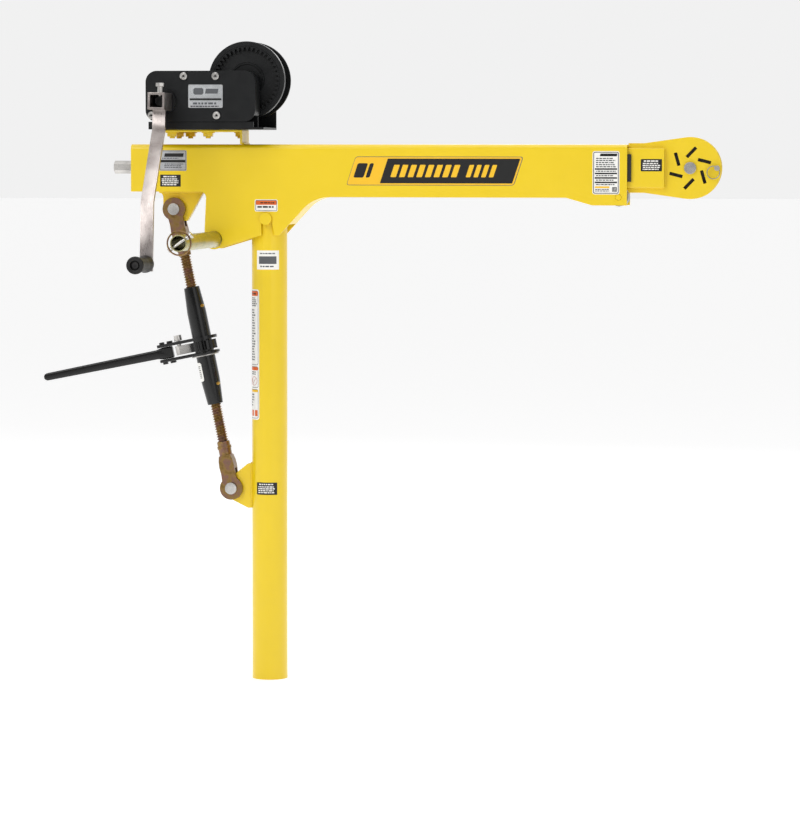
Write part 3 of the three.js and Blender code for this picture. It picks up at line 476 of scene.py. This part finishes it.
thread = {"pitch": 5.08, "crest": 11.0, "root": 8.6, "stepsPerTurn": 28}
for node, body in (("lower_screw", "jack_lower"), ("upper_screw", "jack_upper")):
    low, high = spanAlong(node, lowerPin, jackUp)
    pitch, crest, root = thread["pitch"], thread["crest"], thread["root"]
    bm = bmesh.new()
    start = low - pitch
    profile = [(root, 0.0), (root, 0.12), (crest, 0.44), (crest, 0.56), (root, 0.88), (root, 1.0)]
    verts = [bm.verts.new((r, 0, start + f * pitch)) for r, f in profile]
    edges = [bm.edges.new(pair) for pair in zip(verts, verts[1:])]
    turns = math.ceil((high - low) / pitch) + 2
    steps = thread["stepsPerTurn"]
    bmesh.ops.spin(bm, geom=verts + edges, cent=(0, 0, 0), axis=(0, 0, 1), dvec=(0, 0, pitch / steps),
                   angle=math.tau * turns, steps=steps * turns)
    bmesh.ops.remove_doubles(bm, verts=bm.verts, dist=1e-3)
    for height, facing in ((low, -1), (high, 1)):
        geometry = list(bm.verts) + list(bm.edges) + list(bm.faces)
        bmesh.ops.bisect_plane(bm, geom=geometry, plane_co=(0, 0, height), plane_no=(0, 0, facing),
                               clear_outer=True)
    bmesh.ops.holes_fill(bm, edges=[e for e in bm.edges if len(e.link_faces) == 1], sides=0)
    bmesh.ops.recalc_face_normals(bm, faces=bm.faces)
    bmesh.ops.transform(bm, matrix=jackPlace, verts=bm.verts)
    finishPiece(bm, node + "_threaded", body, [chromateSteel], [node], 28, mm)

collar = {"inside": 12.2, "face": 13.5, "outside": 14, "tall": 6, "round": 0.6, "fromEnd": 9}
inside, face, outside, tall = collar["inside"], collar["face"], collar["outside"], collar["tall"]
collarProfile = [(inside, 0), (face, 0), (outside, collar["round"]), (outside, tall - collar["round"]),
                 (face, tall), (inside, tall), (inside, 0)]
for node in ("lower_clevis", "upper_clevis"):  # jam collar at the end of each neck
    low, high = spanAlong(node, lowerPin, jackUp)
    base = high - tall - collar["fromEnd"] if node == "lower_clevis" else low + collar["fromEnd"]
    bm = bmesh.new()
    spun(bm, collarProfile, (0, 0, base), (0, 0, 1), 40)
    bmesh.ops.transform(bm, matrix=jackPlace, verts=bm.verts)
    finishPiece(bm, node + "_collar", bodyOf[node], [chromateSteel])

barrelLow = spanAlong("jack_barrel", lowerPin, jackUp)[0]
nipple = {"spots": [(39, 18.0), (196, 18.0)], "facing": -38, "hex": 3.4, "stem": 1.5, "ball": 2.2}
bm = bmesh.new()
for fromEnd, radius in nipple["spots"]:
    facing = math.radians(nipple["facing"])
    out = Vector((math.cos(facing), math.sin(facing), 0))
    seat = Vector((0, 0, barrelLow + fromEnd)) + out * (radius - 0.6)
    addPrism(bm, nipple["hex"], seat, seat + out * 3.4, 6, out, 0, 0.4)
    stem, ball = nipple["stem"], nipple["ball"]
    spun(bm, [(0, 3), (stem, 3), (stem, 4.6), (ball, 5.6), (ball, 6.6), (1.1, 7.6), (0, 7.7)], seat, out, 20)
bmesh.ops.transform(bm, matrix=jackPlace, verts=bm.verts)
finishPiece(bm, "barrel_grease_nipples", "barrel", [brassFitting])

sticker = {"radius": 19.05, "facing": -51, "low": 48, "high": 86, "wide": 15}
bm = bmesh.new()
half = sticker["wide"] / 2
addPanel(bm, (-half, 0), (half, sticker["high"] - sticker["low"]), -0.2, 0.2, 0, 5)
addMarks(bm, (-half + 3, 6), (half - 3, 32), 7, -0.26, 1)
wrapRound(bm, sticker["radius"], barrelLow + sticker["low"])
facing = Matrix.Rotation(math.radians(sticker["facing"]), 3, "Z")
bmesh.ops.rotate(bm, cent=(0, 0, 0), matrix=facing, verts=bm.verts)
bmesh.ops.transform(bm, matrix=jackPlace, verts=bm.verts)
finishPiece(bm, "barrel_sticker", "barrel", [whiteVinyl, greyPrint])

yoke = {"bolts": [(-66, 6.4), (-82, 5.6)], "head": 4.2}
plateHigh = spanAlong("yoke_plate_upper", lowerPin, jackUp)[1]
underLow = spanAlong("yoke_plate_lower", lowerPin, jackUp)[0]
bm = bmesh.new()
for across, radius in yoke["bolts"]:
    addPrism(bm, radius, (across, 0, plateHigh), (across, 0, plateHigh + yoke["head"]), 6, (0, 0, 1), 0, 0.7)
    addPrism(bm, radius, (across, 0, underLow - yoke["head"]), (across, 0, underLow), 6, (0, 0, 1), 0, 0.7)
bmesh.ops.transform(bm, matrix=jackPlace, verts=bm.verts)
finishPiece(bm, "yoke_bolts", "ratchet_handle", [glossBlackEnamel])
print("jack detailed")

# winch: drum with ring teeth, cover screws, bolts under the bracket, nameplate
drum = {"bore": 9.9, "boss": 20, "core": 32, "cup": 66, "near": -43, "web": -35, "rope": 29, "far": 33,
        "ropeScrews": ((54, 18), (44, 36)), "screwHead": 5, "screwTall": 3}
drumLow, drumHigh = lowHigh("drum")
drumCentre = middle("drum_axle")
drumCentre.y = 0
edge = (drumHigh.x - drumLow.x) / 2 - 0.05
bore, boss, core, cup = drum["bore"], drum["boss"], drum["core"], drum["cup"]
near, web, rope, far = drum["near"], drum["web"], drum["rope"], drum["far"]
cupSide = [(bore, near), (boss, near), (boss, web), (30, web), (31, web - 1.6), (34, web - 1.6), (35, web),
           (50, web + 1), (cup, web + 1), (cup, near), (edge - 1, near), (edge, near + 1)]
ropeSpace = [(edge, -rope - 1), (edge - 1, -rope), (core + 2, -rope), (core, 2 - rope), (core, rope - 2),
             (core + 2, rope), (edge - 1, rope), (edge, rope + 1)]
farSide = [(edge, far - 1), (edge - 1, far), (48, far), (46, far - 1.4), (36, far - 1.4), (34, far),
           (bore, far), (bore, near)]
bm = bmesh.new()
spun(bm, cupSide + ropeSpace + farSide, drumCentre, (0, 1, 0), 112)
ring = {"teeth": 42, "tip": 57.3, "root": 64.0, "outer": 66.5, "near": near, "far": web + 0.8, "start": 127}
pitchAngle = math.tau / ring["teeth"]
inner = []
for k in range(ring["teeth"]):
    for share, radius in ((-0.36, "tip"), (-0.18, "root"), (0.18, "root"), (0.36, "tip")):
        inner.append((k * pitchAngle + math.radians(ring["start"]) + share * pitchAngle, ring[radius]))


def ringVert(angle, radius, y):
    return bm.verts.new(drumCentre + Vector((radius * math.cos(angle), y, radius * math.sin(angle))))


loops = {}
for y in ("near", "far"):
    toothed = [ringVert(a, r, ring[y]) for a, r in inner]
    loops[y] = (toothed, [ringVert(a, ring["outer"], ring[y]) for a, r in inner])
made = []
for k in range(len(inner)):
    n = (k + 1) % len(inner)
    (nearIn, nearOut), (farIn, farOut) = loops["near"], loops["far"]
    made.append(bm.faces.new((nearIn[k], nearIn[n], nearOut[n], nearOut[k])))
    made.append(bm.faces.new((farIn[n], farIn[k], farOut[k], farOut[n])))
    made.append(bm.faces.new((nearIn[n], nearIn[k], farIn[k], farIn[n])))
    made.append(bm.faces.new((nearOut[k], nearOut[n], farOut[n], farOut[k])))
bmesh.ops.recalc_face_normals(bm, faces=made)
for across, up in drum["ropeScrews"]:
    seat = drumCentre + Vector((across, far, up))
    addPrism(bm, drum["screwHead"], seat, seat + Vector((0, drum["screwTall"], 0)), 6, (0, 1, 0), 1, 0.6)
finishPiece(bm, "drum_turned", "rope_drum", [satinBlackEnamel, zincPlate], ["drum"], 30, mm)

coverScrew = {"head": 7.6, "shank": 3, "long": 8, "socket": 2.2, "seat": 5.5}
for number in range(1, 5):
    node = "cover_screw_%d" % number
    low, high = lowHigh(node)
    seat = (low + high) / 2
    seat.y = low.y + coverScrew["seat"]
    head, shank, long = coverScrew["head"], coverScrew["shank"], coverScrew["long"]
    bm = bmesh.new()
    spun(bm, [(0, -2.2), (3.1, -2.2), (3.3, -5.1), (3.7, -5.4), (5.8, -5.4), (7.1, -4.6), (head, -3.0),
              (head, -0.3), (shank, -0.3), (shank, long), (0, long)], seat, (0, 1, 0), 36)
    # the dark cast-iron hex at the bottom of each recess is painted shade: it stands in for the shade inside
    # the zinc screw's hex socket
    socketLow, socketHigh = seat + Vector((0, -3.4, 0)), seat + Vector((0, -2, 0))
    addPrism(bm, coverScrew["socket"], socketLow, socketHigh, 6, (0, 1, 0), 1)
    finishPiece(bm, node + "_turned", "boom", [zincPlate, castIron], [node], 30, mm)

bracketBolt = {"spots": [(35, -24, 10.5), (39, 24, 10.5), (62, 24, 10.5), (107, -24, 10.5), (165, 0, 8.5)],
               "plate": 4.2, "nut": 9, "end": 12.5, "washer": 2, "headLow": 4.3, "headHigh": 9}
bracketLow, bracketHigh = lowHigh("winch_bracket")
under, above = bracketHigh.z - bracketBolt["plate"], bracketHigh.z
bm = bmesh.new()
for fromLeft, y, radius in bracketBolt["spots"]:
    x = bracketLow.x + fromLeft
    nut, end, washer = under - bracketBolt["nut"], under - bracketBolt["end"], under - bracketBolt["washer"]
    headLow, headHigh = above + bracketBolt["headLow"], above + bracketBolt["headHigh"]
    addPrism(bm, radius, (x, y, nut), (x, y, under), 6, (0, 0, 1), 0, 1.2)
    addPrism(bm, radius * 0.5, (x, y, end), (x, y, nut), 20, (0, 0, 1), 0, 0.8)
    addPrism(bm, radius * 1.25, (x, y, washer), (x, y, under), 28, (0, 0, 1), 0, 0.4)
    addPrism(bm, radius * 0.8, (x, y, headLow), (x, y, headHigh), 6, (0, 0, 1), 1, 0.8)
finishPiece(bm, "bracket_bolts", "boom", [yellowPowderCoat, zincPlate])

nameplate = {"wide": 68, "tall": 45, "fromLeft": 85, "fromTop": 27, "crown": 8, "rivet": 1.2, "inset": 2.2}
coverLow, coverHigh = lowHigh("gear_cover")
coverFace = coverLow.y + nameplate["crown"]
bm = bmesh.new()
left, top = coverLow.x + nameplate["fromLeft"], coverHigh.z - nameplate["fromTop"]
wide, tall, inset, rivet = nameplate["wide"], nameplate["tall"], nameplate["inset"], nameplate["rivet"]
addPanel(bm, (left, top - tall), (left + wide, top), coverFace - 0.5, 0.5, 0, 2.5)
addPanel(bm, (left + 2.5, top - 30.5), (left + 65.5, top - 26.5), coverFace - 0.56, 0.06, 1)
addPanel(bm, (left + 10, top - 19.5), (left + 30, top - 6.5), coverFace - 0.56, 0.06, 2, 4)
addPanel(bm, (left + 33, top - 17.5), (left + 58, top - 8), coverFace - 0.56, 0.06, 2, 0, 0.2)
addMarks(bm, (left + 8, top - 40), (left + 60, top - 33), 1, coverFace - 0.56, 2)
addMarks(bm, (left + 4, top - 44), (left + 64, top - 40), 1, coverFace - 0.56, 1)
for x, z in ((inset, inset), (wide - inset, inset), (inset, tall - inset), (wide - inset, tall - inset)):
    seat = Vector((left + x, coverFace, top - z))
    addPrism(bm, rivet, seat - Vector((0, 0.9, 0)), seat - Vector((0, 0.3, 0)), 16, (0, 1, 0), 3, 0.2)
finishPiece(bm, "winch_nameplate", "boom", [silverFoil, blackVinyl, greyPrint, zincPlate])
print("winch detailed")

# crank grip
grip = {"bore": 5.4, "recess": 9.5, "flange": 16.9, "waist": 14.1, "shoulder": 14.6}
gripLow, gripHigh = lowHigh("crank_grip")
gripCentre = middle("crank_grip")
front, back = gripLow.y - gripCentre.y, gripHigh.y - gripCentre.y
bore, recess, flange, waist, shoulder = grip.values()
frontEnd = [(bore, front + 9), (recess, front + 9), (recess, front + 0.6), (10.3, front), (15.2, front),
            (16.6, front + 1.2), (flange, front + 3), (flange, front + 8), (16.2, front + 12)]
handHold = [(shoulder, front + 18), (waist, front + 28), (waist, back - 34), (shoulder, back - 24)]
backEnd = [(16.3, back - 16), (flange, back - 10), (flange, back - 4), (16, back - 1), (14.5, back),
           (bore, back), (bore, front + 9)]
bm = bmesh.new()
spun(bm, frontEnd + handHold + backEnd, gripCentre, (0, 1, 0), 64)
finishPiece(bm, "crank_grip_turned", "grip", [gripRubber], ["crank_grip"], 40, mm)

# wire rings
pinLow = lowHigh("retainer_pin")[0]
pinCentre = middle("retainer_pin")
snapRing = {"radius": 12.2, "wire": 0.85, "shift": (-7.0, -8.5), "inward": 5, "apart": 1.8}
bm = bmesh.new()
ringX, ringZ = pinCentre.x + snapRing["shift"][0], pinCentre.z + snapRing["shift"][1]
centre = Vector((ringX, pinLow.y + snapRing["inward"], ringZ))
sweep(bm, circlePoints(centre, snapRing["radius"], (1, 0, 0), (0, 0, 1)), snapRing["wire"], 10, 0, True)
behind = centre + Vector((0, snapRing["apart"], 0))
sweep(bm, circlePoints(behind, snapRing["radius"], (1, 0, 0), (0, 0, 1), 60, 330), snapRing["wire"], 10)
finishPiece(bm, "retainer_ring", "rope_retainer", [turnedSteel])

hitchRing = {"radius": 22.4, "wire": 1.6, "forward": 4.2, "rise": 35}
tubeCentre = middle("handle_tube")
pinY = middle("hitch_pin").y
pinRise = math.radians(hitchRing["rise"])
bm = bmesh.new()
across = Vector((math.cos(pinRise), 0, math.sin(pinRise)))
up = Vector((-math.sin(pinRise), 0, math.cos(pinRise)))
centre = Vector((tubeCentre.x, pinY - hitchRing["forward"], tubeCentre.z))
sweep(bm, circlePoints(centre, hitchRing["radius"], across, up, 0, 360, 64), hitchRing["wire"], 10, 0, True)
for way in (-1, 1):
    stop = centre + across * hitchRing["radius"] * way
    sweep(bm, [stop, stop + Vector((0, hitchRing["forward"], 0))], hitchRing["wire"], 10)
finishPiece(bm, "hitch_ring", "hitch", [chromateSteel])
print("rings made")

# weld beads, each on the piece it joins
bead = {"heavy": 2.6, "light": 1.8, "seam": 0.7}
shellLow, shellHigh = lowHigh("boom_shell")
mastHigh = lowHigh("mast_tube")[1]
mastRadius = mastHigh.x
lugLow, lugHigh = lowHigh("mast_lug")
bm = bmesh.new()
for side in (-1, 1):
    x, y = -math.sqrt(mastRadius ** 2 - lugHigh.y ** 2) - 0.6, side * (lugHigh.y + 0.6)
    weld(bm, (x, y, lugLow.z + 16), (x, y, lugHigh.z), bead["heavy"])
x, z = -mastRadius - 0.6, lugHigh.z + 0.4
weld(bm, (x, lugLow.y, z), (x, lugHigh.y, z), bead["heavy"])
finishPiece(bm, "mast_welds", "mast", [yellowPowderCoat])

boomLugLow, boomLugHigh = lowHigh("boom_lug")
bm = bmesh.new()
for side in (-1, 1):
    y, z = side * (boomLugHigh.y + 0.9), boomLugHigh.z - 0.8
    weld(bm, (boomLugLow.x + 4, y, z), (boomLugHigh.x - 3, y, z), bead["heavy"])
z = bracketLow.z + 0.6
for x in (bracketLow.x - 0.8, bracketHigh.x + 0.8):
    weld(bm, (x, bracketLow.y + 3, z), (x, bracketHigh.y - 3, z), bead["heavy"])
endLow, endHigh = lowHigh("tail_end_plate")
for side in (-1, 1):
    x, y = endLow.x + 0.6, side * (endHigh.y + 0.1)
    weld(bm, (x, y, endLow.z + 4), (x, y, endHigh.z - 8), bead["seam"])
finishPiece(bm, "boom_welds", "boom", [yellowPowderCoat])

innerLow, innerHigh = lowHigh("inner_tube")
cheekLow, cheekHigh = lowHigh("cheek_near")
bm = bmesh.new()
for side in (-1, 1):
    for y in (-cheekLow.y + 0.4, -cheekHigh.y - 0.4):
        for z in (innerLow.z - 0.4, innerHigh.z + 0.4):
            weld(bm, (cheekLow.x + 4, side * y, z), (innerHigh.x - 2, side * y, z), bead["light"])
    x, y = innerHigh.x + 0.3, side * (-cheekLow.y + 0.5)
    weld(bm, (x, y, innerLow.z + 6), (x, y, innerHigh.z - 6), bead["light"])
finishPiece(bm, "head_welds", "inner_boom", [yellowPowderCoat])
print("welds made")

# printed labels: plain blocks, rules and dashes
wall = shellLow.y
noseEnd, boomTop = shellHigh.x, shellHigh.z
sidePanel = {"left": 549, "right": 219.5, "low": 79.6, "high": 23.6, "lean": 0.33, "margin": 65,
             "longBars": (8, 22, 17, 11), "shortBars": (4, 170, 15, 9)}  # bars: count, start, pitch, width
bm = bmesh.new()
lean = sidePanel["lean"]
low = (noseEnd - sidePanel["left"], boomTop - sidePanel["low"])
high = (noseEnd - sidePanel["right"], boomTop - sidePanel["high"])
addPanel(bm, low, high, wall - 0.20, 0.2, 1, 5, lean)
addPanel(bm, (low[0] + 1.1, low[1] + 1), (high[0] - 1.1, high[1] - 1), wall - 0.24, 0.2, 0, 4.4, lean)
blackLow, blackHigh = (low[0] + sidePanel["margin"], low[1] + 4), (high[0] - 3.5, high[1] - 4)
addPanel(bm, (blackLow[0] + 1.3, blackLow[1]), (blackHigh[0], blackHigh[1]), wall - 0.3, 0.2, 2, 1, lean)
for count, start, pitch, wide in (sidePanel["longBars"], sidePanel["shortBars"]):
    for k in range(count):
        x, z = blackLow[0] + start + pitch * k, blackLow[1]
        addPanel(bm, (x, z + 12), (x + wide, z + 36), wall - 0.36, 0.1, 0, 1.5, lean)
addPanel(bm, (low[0] + 14, low[1] + 15), (low[0] + 34, low[1] + 43), wall - 0.3, 0.1, 2, 3, lean)
addPanel(bm, (low[0] + 38, low[1] + 15), (low[0] + 46, low[1] + 43), wall - 0.3, 0.1, 2, 3, lean)
finishPiece(bm, "boom_side_panel", "boom", [labelYellow, greyPrint, blackVinyl])

ratingPlate = {"left": 66.8, "right": 14.6, "low": 96.1, "high": 12.7, "rules": 4, "rulePitch": 8.6}
bm = bmesh.new()
low = (noseEnd - ratingPlate["left"], boomTop - ratingPlate["low"])
high = (noseEnd - ratingPlate["right"], boomTop - ratingPlate["high"])
addPanel(bm, low, high, wall - 0.2, 0.2, 0, 4)
addPanel(bm, (low[0] + 1.4, low[1] + 1.4), (high[0] - 1.4, high[1] - 1.4), wall - 0.24, 0.2, 2, 3.2)
addPanel(bm, (low[0] + 3, low[1] + 3), (high[0] - 3, high[1] - 3), wall - 0.28, 0.2, 0, 2.2)
addPanel(bm, (low[0] + 14, high[1] - 10), (high[0] - 5, high[1] - 4.6), wall - 0.34, 0.1, 1, 1, 0.2)
addMarks(bm, (low[0] + 6, high[1] - 32), (high[0] - 6, high[1] - 12), 5, wall - 0.34, 2)
for k in range(ratingPlate["rules"]):  # dark rules across the middle
    z = high[1] - 36 - k * ratingPlate["rulePitch"]
    addPanel(bm, (low[0] + 4.5, z), (high[0] - 4.5, z + 3), wall - 0.34, 0.1, 1, 0.4)
    addMarks(bm, (low[0] + 6, z - 4.6), (high[0] - 6, z - 0.8), 1, wall - 0.34, 2)
addPanel(bm, (low[0] + 5, low[1] + 12), (low[0] + 33, low[1] + 15.6), wall - 0.34, 0.1, 3)
addMarks(bm, (low[0] + 5, low[1] + 5), (low[0] + 33, low[1] + 11), 2, wall - 0.34, 2)
addPanel(bm, (high[0] - 14, low[1] + 5), (high[0] - 5, low[1] + 14), wall - 0.34, 0.1, 1)
for k in range(9):  # a grid of small pale squares on the dark one
    x, z = high[0] - 13 + 2.6 * (k % 3), low[1] + 6 + 2.6 * (k // 3)
    addPanel(bm, (x, z), (x + 1.4, z + 1.4), wall - 0.4, 0.1, 0)
finishPiece(bm, "boom_rating_plate", "boom", [whiteVinyl, blackVinyl, greyPrint, labelYellow])

dataPlate = {"left": 921.5, "right": 866.5, "low": 52.1, "high": 11.7}
bm = bmesh.new()
low = (noseEnd - dataPlate["left"], boomTop - dataPlate["low"])
high = (noseEnd - dataPlate["right"], boomTop - dataPlate["high"])
addPanel(bm, low, high, wall - 0.2, 0.2, 0, 2.5)
addPanel(bm, (low[0] + 1, low[1] + 1), (high[0] - 1, high[1] - 1), wall - 0.24, 0.2, 1, 2)
addPanel(bm, (low[0] + 2, low[1] + 2), (high[0] - 2, high[1] - 2), wall - 0.28, 0.2, 0, 1.6)
addPanel(bm, (low[0] + 10, high[1] - 13), (high[0] - 7, high[1] - 6), wall - 0.34, 0.1, 2, 0.5, 0.2)
addPanel(bm, (low[0] + 2.5, low[1] + 16.5), (high[0] - 2.5, low[1] + 21.5), wall - 0.34, 0.1, 2)
addMarks(bm, (low[0] + 6, low[1] + 23), (high[0] - 12, low[1] + 26.4), 1, wall - 0.34, 1)
addMarks(bm, (low[0] + 10, low[1] + 5), (high[0] - 6, low[1] + 15), 3, wall - 0.34, 1)
finishPiece(bm, "tail_data_plate", "boom", [silverFoil, greyPrint, blackVinyl])

darkLabels = {
    "tail_dark_label": {"body": "boom", "front": wall, "low": (noseEnd - 919.5, boomTop - 83.1),
                        "high": (noseEnd - 878.4, boomTop - 59.6)},
    "tube_dark_label": {"body": "inner_boom", "front": innerLow.y,
                        "low": (innerHigh.x - 45.7, innerLow.z + 31.7),
                        "high": (innerHigh.x - 4.8, innerLow.z + 55.3)},
}
for name, spec in darkLabels.items():
    bm = bmesh.new()
    (x0, z0), (x1, z1), y = spec["low"], spec["high"], spec["front"]
    addPanel(bm, (x0, z0), (x1, z1), y - 0.2, 0.2, 0, 1)
    addMarks(bm, (x0 + 5, z1 - 6), (x1 - 5, z1 - 1.6), 1, y - 0.26, 1)
    addMarks(bm, (x0 + 3, z0 + 2), (x1 - 3, z1 - 6.6), 4, y - 0.26, 1)
    finishPiece(bm, name, spec["body"], [blackVinyl, whiteVinyl])

pivotLabel = {"left": -22, "right": 23.5, "low": 14.2, "high": 37.8}
pivotCentre = middle("pivot_pin")
bm = bmesh.new()
low = (pivotCentre.x + pivotLabel["left"], pivotCentre.z + pivotLabel["low"])
high = (pivotCentre.x + pivotLabel["right"], pivotCentre.z + pivotLabel["high"])
addPanel(bm, low, high, wall - 0.2, 0.2, 0, 3)
addPanel(bm, (low[0] + 1.3, low[1] + 1.3), (high[0] - 1.3, high[1] - 1.3), wall - 0.24, 0.2, 2, 2.2)
addPanel(bm, (low[0] + 2.3, low[1] + 2.3), (high[0] - 2.3, high[1] - 2.3), wall - 0.28, 0.2, 0, 1.4)
addPanel(bm, (low[0] + 2.3, high[1] - 10.6), (high[0] - 2.3, high[1] - 2.3), wall - 0.32, 0.1, 1, 1.2)
addMarks(bm, (low[0] + 10, high[1] - 8.6), (high[0] - 6, high[1] - 4.4), 1, wall - 0.36, 3)
addMarks(bm, (low[0] + 4, low[1] + 6), (high[0] - 4, low[1] + 12), 1, wall - 0.34, 3)
finishPiece(bm, "pivot_warning_label", "boom", [whiteVinyl, orangeVinyl, greyPrint, blackVinyl])

frontLabel = {"low": -21.1, "high": 25.5, "tall": 37.4, "fromTop": 117.8}  # wraps the front of the mast
bm = bmesh.new()
addPanel(bm, (frontLabel["low"], 0), (frontLabel["high"], frontLabel["tall"]), -0.2, 0.2, 0, 1)
addPanel(bm, (-16, 11), (20, 26), -0.26, 0.1, 1)
addMarks(bm, (-14, 3.6), (18, 8.6), 1, -0.26, 1)
addMarks(bm, (-14, 29.5), (18, 33.5), 1, -0.26, 1)
wrapRound(bm, mastRadius, mastHigh.z - frontLabel["fromTop"])
finishPiece(bm, "mast_front_label", "mast", [whiteVinyl, greyPrint])

lowLabel = {"low": -22, "high": 21, "tall": 24.3, "fromTop": 562.3}  # level with the jack's foot
bm = bmesh.new()
addPanel(bm, (lowLabel["low"], 0), (lowLabel["high"], lowLabel["tall"]), -0.2, 0.2, 0, 1)
addMarks(bm, (-17, 18.6), (16, 22.6), 1, -0.26, 1)
addMarks(bm, (-19, 2.4), (18, 17.6), 4, -0.26, 1)
wrapRound(bm, mastRadius, mastHigh.z - lowLabel["fromTop"])
finishPiece(bm, "mast_dark_label", "mast", [blackVinyl, whiteVinyl])

strip = {"low": -62, "high": -16, "tall": 257, "fromTop": 414.3, "sign": 8.5}
bm = bmesh.new()
x0, x1, tall = strip["low"], strip["high"], strip["tall"]
addPanel(bm, (x0, 0), (x1, tall), -0.2, 0.2, 0, 5)
for z0, z1 in ((108, tall - 2.5), (63, 105), (2.5, 60)):  # three framed fields
    addPanel(bm, (x0 + 2, z0), (x1 - 2, z1), -0.24, 0.2, 2, 4)
    addPanel(bm, (x0 + 3, z0 + 1), (x1 - 3, z1 - 1), -0.28, 0.2, 0, 3.4)
addPanel(bm, (x0 + 3, tall - 13), (x1 - 3, tall - 3.5), -0.34, 0.1, 1, 2.5)
addPanel(bm, (x0 + 3, 97.5), (x1 - 3, 104), -0.34, 0.1, 1, 2)
addPanel(bm, (x0 + 3, 54.5), (x1 - 3, 59), -0.34, 0.1, 4, 1.5)
addMarks(bm, (x0 + 6, tall - 11), (x1 - 8, tall - 6), 1, -0.4, 3)
addMarks(bm, (x0 + 5, tall - 34), (x1 - 6, tall - 15), 5, -0.34, 3)
addMarks(bm, (x0 + 5, 116), (x1 - 7, tall - 38), 20, -0.34, 2, 0, 0.92)
addMarks(bm, (x0 + 5, 88), (x1 - 6, 96), 2, -0.34, 2)
addMarks(bm, (x0 + 5, 26), (x1 - 8, 52), 5, -0.34, 2, 0, 0.8)
for x in (x1 - 14, x1 - 36):  # two ring signs, the first with a stroke across it
    sign = circlePoints((x, -0.34, 76.5), strip["sign"], (1, 0, 0), (0, 0, 1), 0, 360, 40)
    sweep(bm, sign, 0.35, 6, 5, True)
    if x == x1 - 14:
        sweep(bm, [(x1 - 20, -0.34, 70.5), (x1 - 8, -0.34, 82.5)], 0.35, 6, 5)
for k in range(3):
    addPanel(bm, (x1 - 12 - 12 * k, 7), (x1 - 4 - 12 * k, 19), -0.34, 0.1, 1, 1)
wrapRound(bm, mastRadius, mastHigh.z - strip["fromTop"])
stripPrints = [whiteVinyl, orangeVinyl, greyPrint, blackVinyl, labelYellow, redPrint]
finishPiece(bm, "mast_long_label", "mast", stripPrints)
print("labels made")
